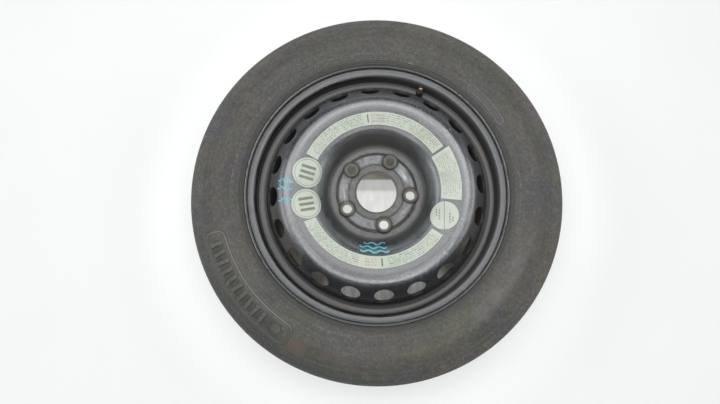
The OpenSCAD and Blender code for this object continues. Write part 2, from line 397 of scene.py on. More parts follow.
def tread_profile():
    """Upper half of the tread and sidewall as [r, z, kind], with the grooves' walls."""
    def tread_r(z):
        z = abs(z)
        o = np.argsort(tyre_outer[:, 1])
        return float(np.interp(z, tyre_outer[o, 1], tyre_outer[o, 0])) if z < 40 else None
    pts = []
    for z in (0, 3.0, 6.0, 8.6):
        pts.append((tread_r(z), z, "rib0"))
    for z, w, d in ((12.5, 7.0, 5.2), (31.5, 5.0, 4.8)):
        lo, hi = z - w / 2, z + w / 2
        pts.append((tread_r(lo) - 0.1, lo - 0.15, "edge"))
        pts.append((tread_r(lo) - 0.6, lo + 0.1, "wall"))
        pts.append((tread_r(z) - d + 0.4, lo + 0.55, "wall"))
        pts.append((tread_r(z) - d, lo + 1.2, "floor"))
        pts.append((tread_r(z) - d, hi - 1.2, "floor"))
        pts.append((tread_r(z) - d + 0.4, hi - 0.55, "wall"))
        pts.append((tread_r(hi) - 0.6, hi - 0.1, "wall"))
        pts.append((tread_r(hi) - 0.1, hi + 0.15, "edge"))
        if z < 20:
            for zz in (17.6, 19.5, 22.5, 25.5, 27.6):
                pts.append((tread_r(zz), zz, "rib1"))
    k = np.argmax(tyre_outer[:, 1] > 35.0)
    prev = None
    for q in tyre_outer[k:]:
        if prev is not None and np.linalg.norm(q - prev) > 4.6:
            n = int(np.linalg.norm(q - prev) // 4.0)
            for i in range(1, n + 1):
                m = prev + (q - prev) * i / (n + 1)
                pts.append((m[0], m[1], "side"))
        pts.append((q[0], q[1], "side"))
        prev = q
    return pts


def ring_relief(r):
    """Small moulded rings on the sidewall, mm outward."""
    h = 0.0
    for rc, w, d in ((226.2, 0.55, 0.45), (223.6, 0.55, 0.45), (221.2, 0.5, 0.4), (243.6, 0.8, 0.35), (291.2, 0.9, 0.4)):
        h += d * math.exp(-((r - rc) / w) ** 2)
    return h


def build_tyre():
    cols = tyre_columns()
    prof = tread_profile()
    rings = []
    # extra rings where small moulded rings stand on the sidewall
    fine = []
    for q in prof:
        fine.append(q)
    side = [p for p in fine if p[2] == "side"]
    head = [p for p in fine if p[2] != "side"]
    sr = np.array([p[0] for p in side])
    sz = np.array([p[1] for p in side])
    s = np.r_[0, np.cumsum(np.hypot(np.diff(sr), np.diff(sz)))]
    extra = []
    for rc in (226.2, 223.6, 221.2, 243.6, 291.2):
        i = np.argmin(np.abs(sr - rc))
        j = i if sr[i] >= rc else i - 1
        j = max(0, min(len(sr) - 2, j))
        t = (sr[j] - rc) / max(1e-6, sr[j] - sr[j + 1])
        sc = s[j] + t * (s[j + 1] - s[j])
        extra += [sc - 1.1, sc - 0.45, sc, sc + 0.45, sc + 1.1]
    painted_shade_albedo = [v for v in s if all(abs(v - e) > 0.75 for e in extra)]
    allS = sorted(painted_shade_albedo + [e for e in extra if 0 < e < s[-1]])
    side = [(float(np.interp(v, s, sr)), float(np.interp(v, s, sz)), "side") for v in allS]
    upper = head + side
    P = np.array([(p[0], p[1]) for p in upper])
    kinds = [p[2] for p in upper]
    # outward normals of the section
    T = np.gradient(P, axis=0)
    Nn = np.c_[T[:, 1], -T[:, 0]]
    Nn /= np.linalg.norm(Nn, axis=1)[:, None]
    a = np.radians(cols)
    verts, ring_ids = [], []

    def add_ring(R, Z, ang):
        base = len(verts)
        for k in range(len(ang)):
            verts.append((R[k] * math.cos(ang[k]) * MM, R[k] * math.sin(ang[k]) * MM, (Z[k] - ET) * MM))
        return list(range(base, base + len(ang)))

    def half(sign):
        out = []
        slot_c = 0.0 if sign > 0 else 3.0
        sl = slot_mask(cols, slot_c)
        sp = sipe_mask(cols, 1.5) + sipe_mask(cols, 4.5)
        for i, (r, z) in enumerate(P):
            R = np.full(len(cols), r)
            Z = np.full(len(cols), z)
            d = np.zeros(len(cols))
            k = kinds[i]
            if k == "side":
                # shoulder slots: from the outer groove up to where the shoulder falls away
                if 33.0 <= z <= 44.0 and r > 308.0:
                    R = np.where(sl > 0.5, 308.0, R)
                h = ring_relief(r)
                R = R + Nn[i, 0] * h
                Z = Z + Nn[i, 1] * h
            if k in ("rib0", "rib1"):
                d = d + sp * 2.2
            if k == "side" and z < 36.5:
                d = d + sp * 1.6
            R = R - Nn[i, 0] * d
            Z = Z - Nn[i, 1] * d
            if i == 0:
                Z = Z * 0
            out.append(add_ring(R, sign * Z, a))
        return out

    up = half(1)
    lo = half(-1)[1:]
    faces = []

    def bridge(A, B):
        n = len(A)
        for k in range(n):
            j = (k + 1) % n
            faces.append((A[k], A[j], B[j], B[k]))

    chain = lo[::-1] + up          # from the lower lip over the tread to the upper lip
    for i in range(len(chain) - 1):
        bridge(chain[i], chain[i + 1])
    # coarse rings for the bead and the inside
    step = 6
    coarse = a[::step]

    def coarse_ring(r, z):
        return add_ring(np.full(len(coarse), r), np.full(len(coarse), z), coarse)

    rest = [tuple(q) for q in lip_side] + [tuple(q) for q in heel_side] + [tuple(q) for q in tyre_inner]
    rest = [q for i, q in enumerate(rest) if i == 0 or math.dist(q, rest[i - 1]) > 0.02]
    loop = rest + [(q[0], -q[1]) for q in rest[::-1][1:]]
    ids = [coarse_ring(*q) for q in loop]
    for i in range(len(ids) - 1):
        bridge(ids[i], ids[i + 1])

    def stitch(dense, sparse, flip):
        n = len(sparse)
        for k in range(n):
            seg = [dense[(k * step + i) % len(dense)] for i in range(step + 1)]
            f = seg + [sparse[(k + 1) % n], sparse[k]]
            faces.append(tuple(f[::-1]) if flip else tuple(f))

    stitch(chain[-1], ids[0], False)
    stitch(chain[0], ids[-1], True)
    ob = make_object("tyre_moulding", verts, faces)
    bpy.context.view_layer.objects.active = ob
    me = ob.data
    import bmesh
    bm = bmesh.new()
    bm.from_mesh(me)
    bmesh.ops.recalc_face_normals(bm, faces=bm.faces)
    bm.to_mesh(me)
    bm.free()
    edge_split(ob, 38)
    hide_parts("tyre")
    return ob


def tyre_frame(r, a):
    """Point on the sidewall at radius r (mm) and angle a (deg), with its outward, radial and tangential directions."""
    z, dz = tyre_surface(r)
    ca, sa = math.cos(math.radians(a)), math.sin(math.radians(a))
    p = np.array([r * ca, r * sa, z - ET])
    rad = unit(np.array([ca, sa, dz]))
    tan = np.array([-sa, ca, 0.0])
    out = np.cross(rad, tan)
    return p, out, rad, tan


def relief_bar(verts, faces, r0, r1, a, w, h, sink=0.4, lean=0.0, taper=0.25):
    """A low moulded rib from r0 to r1 at angle a, w mm wide and h mm high, with sloping sides."""
    n = 4
    base = len(verts)
    for i in range(n + 1):
        r = r0 + (r1 - r0) * i / n
        aa = a + lean * (i / n - 0.5)
        p, out, rad, tan = tyre_frame(r, aa)
        e = 0.0 if 0 < i < n else 1.0
        hh = h * (1.0 - e * 0.15)
        pull = rad * (0.35 if i == 0 else (-0.35 if i == n else 0.0))
        for s, k in ((-1, 0), (-1, 1), (1, 1), (1, 0)):
            ww = w / 2 * (1.0 if k == 0 else 1 - taper)
            q = p + tan * s * ww + out * (hh if k else -sink) + (pull if k else 0)
            verts.append(tuple(q * MM))
    for i in range(n):
        b0, b1 = base + 4 * i, base + 4 * (i + 1)
        for k in range(3):
            faces.append((b0 + k, b0 + k + 1, b1 + k + 1, b1 + k))
        faces.append((b0 + 3, b0, b1, b1 + 3))
    faces.append((base + 3, base + 2, base + 1, base))
    t = base + 4 * n
    faces.append((t, t + 1, t + 2, t + 3))


def relief_path(verts, faces, pts, w, h, sink=0.4, closed=True):
    """A low moulded line along the (r, angle) points."""
    P = []
    for r, a in pts:
        P.append(tyre_frame(r, a))
    n = len(P)
    base = len(verts)
    for i in range(n):
        p, out, rad, tan = P[i]
        q0 = P[i - 1][0] if (closed or i > 0) else p
        q1 = P[(i + 1) % n][0] if (closed or i < n - 1) else p
        d = unit(q1 - q0)
        side = unit(np.cross(out, d))
        for s, k in ((-1, 0), (-0.55, 1), (0.55, 1), (1, 0)):
            verts.append(tuple((p + side * s * w / 2 + out * (h if k else -sink)) * MM))
    m = n if closed else n - 1
    for i in range(m):
        b0, b1 = base + 4 * i, base + 4 * ((i + 1) % n)
        for k in range(4):
            k2 = (k + 1) % 4
            faces.append((b0 + k, b1 + k, b1 + k2, b0 + k2))
    if not closed:
        faces.append((base, base + 1, base + 2, base + 3))
        t = base + 4 * (n - 1)
        faces.append((t + 3, t + 2, t + 1, t))


def rounded_band(r0, r1, a0, a1, rc, n=7):
    """(r, angle) points round an arc-shaped field with rounded ends; rc in mm."""
    rm = (r0 + r1) / 2
    k = 180 / math.pi / rm
    out = []
    span = max(6, int((a1 - a0) / 0.9))
    for c, s, (ar, aa) in (((r1 - rc), 0, (1, 1)), ((r1 - rc), 90, (1, 1)), ((r0 + rc), 180, (1, 1)), ((r0 + rc), 270, (1, 1))):
        pass
    def cornerpts(rcx, acx, start):
        q = []
        for i in range(n + 1):
            t = math.radians(start + 90 * i / n)
            q.append((rcx + rc * math.cos(t), acx + rc * math.sin(t) * k))
        return q
    da = rc * k
    # along the outer radius from a0 to a1, round, back along the inner radius
    for i in range(span + 1):
        out.append((r1, a0 + da + (a1 - a0 - 2 * da) * i / span))
    out += cornerpts(r1 - rc, a1 - da, 0)[1:]
    out += cornerpts(r0 + rc, a1 - da, 90)[0:]
    for i in range(span + 1):
        out.append((r0, a1 - da - (a1 - a0 - 2 * da) * i / span))
    out += cornerpts(r0 + rc, a0 + da, 180)[1:]
    out += cornerpts(r1 - rc, a0 + da, 270)[0:]
    clean = []
    for q in out:
        if not clean or abs(q[0] - clean[-1][0]) + abs(q[1] - clean[-1][1]) * 4 > 0.05:
            clean.append(q)
    if abs(clean[0][0] - clean[-1][0]) + abs(clean[0][1] - clean[-1][1]) * 4 < 0.05:
        clean.pop()
    return clean


def build_sidewall_relief():
    """Raised marks of the moulding, all of them plain bars, rings and outlines."""
    rnd = random.Random(5)
    big_v, big_f = [], []
    # long rounded field with a row of chunky bars, lower left
    relief_path(big_v, big_f, rounded_band(255.5, 288.0, 195.2, 239.6, 11.0), 5.0, 0.8)
    a = 199.3
    k = 0
    while a < 231.5:
        relief_bar(big_v, big_f, 261.5, 282.0, a, 10.4, 1.35, lean=(0.5 if k % 3 == 1 else -0.4 if k % 3 == 2 else 0.0), taper=0.42)
        a += 3.25
        k += 1
    # a plain round stud at the end of the row
    for rr, hh in ((8.6, 0.9), (4.2, 1.3)):
        base = len(big_v)
        n = 28
        for lev, (rad_k, h) in enumerate(((1.0, -0.4), (0.93, hh), (0.80, hh + 0.05))):
            for i in range(n):
                t = 2 * math.pi * i / n
                rr2 = rr * rad_k
                r = 271.8 + rr2 * math.cos(t)
                aa = 234.3 + math.degrees(rr2 * math.sin(t) / 271.8)
                p, out, rad, tan = tyre_frame(r, aa)
                big_v.append(tuple((p + out * h) * MM))
        for lev in range(2):
            for i in range(n):
                j = (i + 1) % n
                big_f.append((base + lev * n + i, base + lev * n + j, base + (lev + 1) * n + j, base + (lev + 1) * n + i))
        big_f.append(tuple(base + 2 * n + i for i in range(n)))
    # lighter, finer marks: an outlined field and bands of short ticks
    V, F = [], []
    relief_path(V, F, rounded_band(231.5, 242.0, 28.8, 49.2, 4.2), 2.3, 0.55)
    for a0, a1, rm in ((75, 82, 237.5), (84, 103, 237.5), (107, 112, 238), (114, 136, 237.5), (139, 158, 237.5), (161, 181, 237.5),
                       (343, 350, 234.5), (351.5, 368, 234.5), (247, 262, 236.5)):
        a = a0
        while a < a1:
            hh = rnd.choice((3.4, 4.2, 4.2, 5.0))
            if rnd.random() < 0.86:
                relief_bar(V, F, rm - hh / 2, rm + hh / 2, a, rnd.choice((0.9, 1.2, 1.7)), 0.45, taper=0.30)
            a += rnd.choice((0.55, 0.62, 0.62, 0.95))
    # the other side
    V2, F2 = [], []
    for a0, a1, rm in ((20, 60, 238.0), (140, 190, 238.0), (250, 300, 238.0)):
        a = a0
        while a < a1:
            hh = rnd.choice((2.6, 3.4, 3.4, 4.2))
            relief_bar(V2, F2, rm - hh / 2, rm + hh / 2, a, 0.9, 0.30, taper=0.35)
            a += 0.70
    relief_path(V2, F2, rounded_band(272.0, 292.0, 80.0, 118.0, 8.0), 2.2, 0.5)
    a = 84.0
    while a < 114.5:
        relief_bar(V2, F2, 276.0, 288.0, a, 7.0, 0.6, taper=0.2)
        a += 3.3
    b = len(V)
    V += [(x, y, -2 * ET * MM - z) for x, y, z in V2]
    F += [tuple(b + i for i in f[::-1]) for f in F2]
    one = make_object("tyre_raised_bars", big_v, big_f, smooth=False)
    two = make_object("tyre_raised_ticks", V, F, smooth=False)
    return one, two


def build_spews():
    """Short rubber hairs left by the mould's vents on the shoulder and sidewall."""
    rnd = random.Random(11)
    V, F = [], []
    for sgn in (1, -1):
        for k in range(46):
            a = 360 * (k + rnd.uniform(-0.25, 0.25)) / 46
            r = rnd.choice((272.0, 272.0, 250.0, 296.0))
            p, out, rad, tan = tyre_frame(r, a)
            if sgn < 0:
                p = np.array([p[0], p[1], -2 * ET - p[2]])
                out = np.array([out[0], out[1], -out[2]])
            L = rnd.uniform(0.4, 1.3)
            if sgn < 0:
                L = min(L, 0.5)
            lean = tan * rnd.uniform(-0.5, 0.5) + rad * rnd.uniform(-0.4, 0.4)
            base = len(V)
            for i, (h, w) in enumerate(((-0.3, 0.45), (0.25, 0.36), (L, 0.22))):
                c = p + out * h + lean * max(0, h) * 0.6
                for j in range(6):
                    t = j * math.pi / 3
                    V.append(tuple((c + (rad * math.cos(t) + tan * math.sin(t)) * w) * MM))
            for i in range(2):
                for j in range(6):
                    j2 = (j + 1) % 6
                    F.append((base + 6 * i + j, base + 6 * i + j2, base + 6 * (i + 1) + j2, base + 6 * (i + 1) + j))
            F.append(tuple(base + 12 + j for j in range(6)))
            F.append(tuple(base + 5 - j for j in range(6)))
    return make_object("tyre_mould_hairs", V, F)


tyre = build_tyre()
relief_big, relief_fine = build_sidewall_relief()
spews = build_spews()


def tyre_material(name, gain=(1.0, 1.0, 1.0), side_shade=0.0):
    g = Mat(name)
    g.co()
    base = lin(93, 92, 88)
    c = g.mix(g.step(g.noise(9.0, 4, 0.6), 0.44, 0.64), base, lin(96, 91, 86))
    c = g.mix(g.step(g.noise(8.0, 4, 0.6, g.shifted(3, 1, 2)), 0.48, 0.66), c, lin(84, 88, 90))
    c = g.mix(g.f("MULTIPLY", g.step(g.noise(15.0, 4, 0.65, g.shifted(7, 5, 1)), 0.49, 0.65), 0.95), c, lin(87, 93, 77))
    c = g.mix(g.f("MULTIPLY", g.step(g.noise(17.0, 4, 0.65, g.shifted(1, 8, 4)), 0.52, 0.67), 0.85), c, lin(91, 84, 97))
    c = g.mix(g.f("MULTIPLY", g.step(g.noise(12.0, 4, 0.65, g.shifted(6, 2, 7)), 0.55, 0.72), 0.7), c, lin(100, 93, 84))
    # wide, soft patches: washed paler here, soiled darker there
    wide = g.noise(5.5, 4, 0.6, g.shifted(11, 4, 6))
    c = g.mix(g.f("MULTIPLY", g.step(wide, 0.51, 0.63), 0.36), c, lin(73, 75, 72))
    wide2 = g.noise(6.5, 4, 0.6, g.shifted(3, 12, 9))
    c = g.mix(g.f("MULTIPLY", g.step(wide2, 0.52, 0.64), 0.34), c, lin(114, 109, 98))
    # mottling and grain
    mot = g.noise(60.0, 5, 0.7, g.shifted(2, 3, 5))
    c = g.mix(g.f("MULTIPLY", g.step(mot, 0.51, 0.68), 0.52), c, lin(120, 118, 108))
    c = g.mix(g.f("MULTIPLY", g.step(mot, 0.47, 0.31), 0.56), c, lin(67, 68, 65))
    gr = g.noise(210.0, 4, 0.78)
    c = g.mix(g.f("MULTIPLY", g.step(gr, 0.51, 0.64), 0.52), c, lin(126, 124, 117))
    c = g.mix(g.f("MULTIPLY", g.step(gr, 0.48, 0.36), 0.52), c, lin(62, 62, 60))
    # faint rings of scuffing round the wheel
    rub = g.noise(1.0, 5, 0.62, g.polar(0.30, 0.05, 0.25))
    c = g.mix(g.f("MULTIPLY", g.step(rub, 0.53, 0.69), 0.34), c, lin(118, 115, 108))
    c = g.mix(g.f("MULTIPLY", g.step(rub, 0.45, 0.32), 0.34), c, lin(68, 68, 66))
    # stains
    stain = g.f("MULTIPLY", g.angwin(283.0, 7.0, 3.5), g.window(g.r, 254, 272, 6))
    stain = g.f("MULTIPLY", stain, g.step(g.noise(70.0, 4, 0.7), 0.36, 0.62))
    c = g.mix(g.f("MULTIPLY", stain, 0.45), c, lin(122, 114, 86))
    stain2 = g.f("MULTIPLY", g.angwin(242.5, 3.2, 1.8), g.window(g.r, 268, 288, 5))
    c = g.mix(g.f("MULTIPLY", stain2, 0.60), c, lin(124, 106, 94))
    stain4 = g.f("MULTIPLY", g.angwin(250.0, 9.0, 5.0), g.window(g.r, 262, 284, 7))
    stain4 = g.f("MULTIPLY", stain4, g.step(g.noise(40.0, 4, 0.7, g.shifted(1, 1, 3)), 0.36, 0.66))
    c = g.mix(g.f("MULTIPLY", stain4, 0.45), c, lin(108, 92, 84))
    stain3 = g.f("MULTIPLY", g.angwin(323.0, 15.0, 5.0), g.window(g.r, 242, 262, 4))
    stain3 = g.f("MULTIPLY", stain3, g.lerp(g.step(g.noise(38.0, 4, 0.7, g.shifted(2, 9, 9)), 0.38, 0.60), 0.25, 1.0))
    c = g.mix(g.f("MULTIPLY", stain3, 0.55), c, lin(122, 119, 118))
    # the moulded panel, lower left: painted shade darkens the field between the raised bars, a painted highlight
    # lightens the outline's inner side towards the rim
    panel_shade = g.f("MULTIPLY", g.window(g.r, 262.0, 281.5, 2.0), g.angwin(217.4, 18.5, 1.6))
    c = g.mix(g.f("MULTIPLY", panel_shade, 0.46), c, lin(54, 55, 52))
    outline_highlight = g.f("MULTIPLY", g.window(g.r, 251.0, 260.0, 3.0), g.angwin(217.4, 20.0, 2.5))
    outline_highlight = g.f("MAXIMUM", outline_highlight, g.f("MULTIPLY", g.window(g.r, 257.0, 280.0, 5.0), g.f("MULTIPLY", g.angwin(196.2, 1.0, 0.9), 0.7)))
    if name != "tyre_rubber":
        # painted shade on the raised outline's far side and on its right end
        far_side_shade = g.f("MULTIPLY", g.f("MAXIMUM", g.step(g.r, 283.0, 285.5), g.f("MULTIPLY", g.angwin(239.0, 1.6, 0.6), g.step(g.r, 257.5, 261.0))), g.angwin(217.4, 24.0, 0.5))
        c = g.mix(g.f("MULTIPLY", far_side_shade, 0.75), c, lin(70, 71, 69))
        near_rim = g.f("MULTIPLY", g.step(g.r, 260.0, 258.5), g.angwin(217.4, 24.0, 0.5))
        c = g.mix(g.f("MULTIPLY", near_rim, 0.55), c, lin(84, 85, 80))
    c = g.mix(g.f("MULTIPLY", outline_highlight, 0.42), c, lin(118, 119, 113))
    dust = g.f("MULTIPLY", g.angwin(305.0, 40.0, 22.0), g.window(g.r, 236, 282, 16))
    dust = g.f("MULTIPLY", dust, g.step(g.noise(30.0, 5, 0.7, g.shifted(4, 4, 4)), 0.40, 0.66))
    c = g.mix(g.f("MULTIPLY", dust, 0.38), c, lin(122, 115, 100))
    field = g.f("MULTIPLY", g.angwin(39.0, 10.0, 1.6), g.window(g.r, 232.5, 241.5, 2.0))
    field = g.f("MULTIPLY", field, g.lerp(g.step(g.noise(1.0, 4, 0.7, g.polar(0.5, 0.08, 0.0)), 0.38, 0.62), 0.35, 1.0))
    c = g.mix(g.f("MULTIPLY", field, 0.42), c, lin(112, 115, 126))
    # one radial scratch and a nick near the lip
    sca = g.f("SUBTRACT", g.ang(), g.f("MULTIPLY", g.f("SUBTRACT", g.r, 274.0), 0.036))
    scd = g.f("ABSOLUTE", g.f("SUBTRACT", sca, 309.6))
    sc = g.f("MULTIPLY", g.step(scd, 0.46, 0.24), g.window(g.r, 273, 304, 2))
    c = g.mix(g.f("MULTIPLY", sc, 0.68), c, lin(150, 141, 132))
    nick = g.f("MULTIPLY", g.angwin(75.5, 1.0, 0.5), g.window(g.r, 226.5, 229.0, 1.0))
    c = g.mix(g.f("MULTIPLY", nick, 0.7), c, lin(150, 146, 138))
    # darker near the bead, cooler at the lower left edge
    c = g.mix(g.f("MULTIPLY", g.step(g.r, 231, 220), 0.75), c, lin(72, 72, 70))
    low = g.f("MULTIPLY", g.angwin(232.0, 38.0, 16.0), g.step(g.r, 282, 302))
    c = g.mix(g.f("MULTIPLY", low, 0.55), c, lin(74, 79, 76))
    under = g.step(g.zm, -70, -98)
    c = g.mix(g.f("MULTIPLY", under, 0.4), c, lin(88, 80, 70))
    # fine pale specks
    sp = g.step(g.voronoi(420.0), 0.13, 0.05)
    sp = g.f("MULTIPLY", sp, g.step(g.noise(20.0, 2), 0.5, 0.66))
    c = g.mix(g.f("MULTIPLY", sp, 0.45), c, lin(150, 146, 138))
    # the flat of the sidewall is a little darker than the shoulder
    tone = g.lerp(g.step(g.r, 280, 297), 0.74, 0.93)
    tone = g.lerp(g.step(g.r, 229, 220), tone, 0.86)
    tone = g.f("MULTIPLY", tone, g.lerp(g.f("MULTIPLY", g.angwin(247.0, 48.0, 26.0), g.step(g.r, 270, 292)), 1.0, 0.84))
    tone = g.f("MULTIPLY", tone, g.lerp(g.f("MULTIPLY", g.angwin(318.0, 24.0, 12.0), g.window(g.r, 238, 266, 6)), 1.0, 1.12))
    c = g.mix(1.0, c, g.vec(tone, tone, tone), "MULTIPLY")
    c = g.mix(1.0, c, gain, "MULTIPLY")
    # painted shade on faces that do not look up: the side walls of the raised pieces
    if side_shade:
        geo = g.nt.nodes.new("ShaderNodeNewGeometry")
        sep = g.nt.nodes.new("ShaderNodeSeparateXYZ")
        g.nt.links.new(geo.outputs["Normal"], sep.inputs[0])
        up = g.step(g.f("ABSOLUTE", sep.outputs[2]), 0.70, 0.88)
        c = g.mix(g.f("MULTIPLY", g.f("SUBTRACT", 1.0, up), side_shade), c, (0.020, 0.021, 0.020))
    fine = g.noise(1.0, 3, 0.6, g.polar(1.1, 0.25, 0.6))
    h = g.f("ADD", g.f("MULTIPLY", g.noise(900.0, 3, 0.6), 0.6), g.f("MULTIPLY", fine, 0.6))
    h = g.f("ADD", h, g.f("MULTIPLY", mot, 1.2))
    # shallow serration at the shoulder's edge
    ser = g.f("SINE", g.f("MULTIPLY", g.ang(), 2 * math.pi / 1.2))
    ser = g.f("MULTIPLY", ser, g.window(g.r, 293, 301, 2.0))
    h = g.f("ADD", h, g.f("MULTIPLY", ser, 0.5))
    n = g.bump(h, 0.55, 0.0005)
    rough = g.lerp(g.step(mot, 0.35, 0.7), 0.62, 0.80)
    return g.finish(c, rough, 0.0, n, IOR=1.5)


K_TYRE = 0.80
set_material(tyre, tyre_material("tyre_rubber", (K_TYRE, K_TYRE, K_TYRE)))
set_material(spews, tyre_material("tyre_rubber_hairs", (0.7, 0.7, 0.7)))
# the raised pieces are lighter copies of the rubber: painted light on their tops, with painted shade on their side
# walls
set_material(relief_big, tyre_material("tyre_rubber_raised", (1.34, 1.34, 1.30), 0.85))
set_material(relief_fine, tyre_material("tyre_rubber_ticks", (1.50, 1.54, 1.74), 0.30))


# ------------------------------------------------------------------ painted steel
def paint_material(name, part):
    g = Mat(name)
    g.co()
    geo = g.nt.nodes.new("ShaderNodeNewGeometry")
    sep = g.nt.nodes.new("ShaderNodeSeparateXYZ")
    g.nt.links.new(geo.outputs["Normal"], sep.inputs[0])
    up = sep.outputs[2]
    c = g.mix(g.step(g.noise(9.0, 4, 0.6), 0.4, 0.7), (0.019, 0.021, 0.024), (0.028, 0.029, 0.032))
    # thin pale bluish film on upward faces: partly dust lying there, partly painted sheen of the light from above,
    # wiped off in streaks
    wipe = g.noise(1.0, 5, 0.7, g.polar(0.050, 0.055, 0.0), distort=1.6)
    dust_and_sheen = g.f("MULTIPLY", g.step(up, 0.62, 0.97), g.lerp(g.step(wipe, 0.36, 0.66), 0.25, 1.0))
    dust_and_sheen = g.f("MULTIPLY", dust_and_sheen, g.lerp(g.step(g.noise(55.0, 5, 0.7), 0.30, 0.72), 0.55, 1.0))
    c = g.mix(g.f("MULTIPLY", dust_and_sheen, 0.56), c, (0.126, 0.144, 0.160))
    rough = g.lerp(g.step(g.noise(20.0, 4, 0.65, g.shifted(1, 9, 1)), 0.3, 0.75), 0.27, 0.42)
    rough = g.lerp(g.step(wipe, 0.40, 0.62), 0.25, rough)
    scr_mask = g.step(g.noise(14.0, 3, 0.6, g.shifted(5, 5, 5)), 0.42, 0.60)
    s1 = g.step(g.noise(1.0, 2, 0.5, g.polar(2.4, 0.10, 0.8), distort=0.6), 0.655, 0.71)
    s2 = g.step(g.noise(1.0, 2, 0.5, g.polar(0.16, 1.9, 0.3), distort=1.2), 0.68, 0.73)
    s3 = g.step(g.noise(1.0, 2, 0.5, g.vec(g.f("MULTIPLY", g.f("ADD", g.x, g.y), 900.0), g.f("MULTIPLY", g.f("SUBTRACT", g.x, g.y), 40.0), 0.0), distort=0.8), 0.67, 0.72)
    s4 = g.step(g.noise(1.0, 2, 0.5, g.vec(g.f("MULTIPLY", g.f("SUBTRACT", g.x, g.f("MULTIPLY", g.y, 0.6)), 700.0), g.f("MULTIPLY", g.f("ADD", g.y, g.f("MULTIPLY", g.x, 0.6)), 36.0), 0.0), distort=0.9), 0.64, 0.72)
    scr = g.f("MAXIMUM", s1, g.f("MAXIMUM", g.f("MULTIPLY", s2, 0.8), g.f("MAXIMUM", g.f("MULTIPLY", s3, 0.8), g.f("MULTIPLY", s4, 0.8))))
    scr = g.f("MULTIPLY", scr, scr_mask)
    c = g.mix(g.f("MULTIPLY", scr, 0.60), c, (0.30, 0.31, 0.325))
    if part == "disc":
        # dirt round the hub, in the moat and on the wall above it
        inner = g.step(g.r, 46.5, 43.5)
        c = g.mix(g.f("MULTIPLY", inner, 0.55), c, (0.050, 0.047, 0.040))
        rough = g.lerp(inner, rough, 0.60)
        hubdirt = g.f("MULTIPLY", g.step(g.r, 80, 72), g.step(g.noise(42.0, 5, 0.7), 0.42, 0.64))
        c = g.mix(g.f("MULTIPLY", hubdirt, 0.42), c, (0.120, 0.098, 0.078))
        # the moat's pale taupe: dust, with painted light making it paler at the left and the bottom and darker at the
        # top
        moat = g.window(g.r, 63.5, 77.5, 2.0)
        dust_and_side_light = g.lerp(g.f("MAXIMUM", g.angwin(185.0, 55.0, 35.0), g.f("MULTIPLY", g.angwin(265.0, 35.0, 25.0), 0.6)), 0.42, 0.80)
        c = g.mix(g.f("MULTIPLY", moat, g.f("MULTIPLY", dust_and_side_light, 0.62)), c, (0.112, 0.108, 0.098))
        rough = g.lerp(moat, rough, 0.66)
        pads = g.window(g.r, 46.5, 61.5, 1.2)
        brush = g.step(g.noise(1.0, 4, 0.65, g.polar(0.55, 0.020, 0.0), distort=0.5), 0.36, 0.66)
        c = g.mix(g.f("MULTIPLY", pads, g.lerp(brush, 0.16, 0.50)), c, (0.170, 0.188, 0.200))
        rough = g.lerp(pads, rough, 0.40)
        # painted shade: dark lines in the creases at the hub's two steps, weaker at the top
        for rr in (45.2, 63.4):
            crease_shade = g.window(g.r, rr - 1.0, rr + 1.0, 0.9)
            crease_shade = g.f("MULTIPLY", crease_shade, g.lerp(g.step(g.noise(1.0, 3, 0.6, g.polar(0.02, 0.05, 0.0)), 0.40, 0.60), 0.35, 1.0))
            crease_shade = g.f("MULTIPLY", crease_shade, g.lerp(g.angwin(108.0, 35.0, 20.0), 1.0, 0.45))
            c = g.mix(g.f("MULTIPLY", crease_shade, 0.75), c, (0.012, 0.012, 0.012))
            rough = g.lerp(crease_shade, rough, 0.85)
        grease = g.f("MULTIPLY", g.window(g.r, 79, 100, 4), g.step(g.noise(26.0, 5, 0.7, g.shifted(4, 1, 0)), 0.45, 0.62))
        c = g.mix(g.f("MULTIPLY", grease, 0.35), c, (0.060, 0.066, 0.058))
        grime = g.step(g.noise(1.0, 5, 0.68, g.polar(0.11, 0.085, 0.0), distort=1.0), 0.46, 0.64)
        grime = g.f("MULTIPLY", grime, g.step(g.r, 92, 78))
        c = g.mix(g.f("MULTIPLY", grime, 0.62), c, (0.020, 0.018, 0.015))
        rough = g.lerp(grime, rough, 0.62)
        # painted shade at the foot of the wall, where the moat turns up into it
        foot_shade = g.window(g.r, 75.5, 88.0, 3.0)
        c = g.mix(g.f("MULTIPLY", foot_shade, 0.75), c, (0.013, 0.014, 0.013))
        # painted light on the wall over the foot, towards its top, least at the far side
        wall_light = g.f("MULTIPLY", g.window(g.r, 92.0, 108.0, 5.0), g.f("SUBTRACT", 1.0, g.f("MULTIPLY", g.angwin(90.0, 40.0, 30.0), 0.85)))
        wall_light = g.f("MULTIPLY", wall_light, g.lerp(g.step(g.noise(1.0, 4, 0.65, g.polar(0.08, 0.06, 0.0), distort=0.8), 0.38, 0.64), 0.5, 1.0))
        c = g.mix(g.f("MULTIPLY", wall_light, 0.60), c, (0.135, 0.150, 0.155))
        rough = g.lerp(foot_shade, rough, 0.75)
        # painted shade on the wall at the top, the far side
        far_wall_shade = g.f("MULTIPLY", g.angwin(96.0, 40.0, 18.0), g.window(g.r, 76.0, 97.0, 4.0))
        c = g.mix(g.f("MULTIPLY", far_wall_shade, 0.7), c, (0.022, 0.020, 0.016))
        rough = g.lerp(far_wall_shade, rough, 0.80)
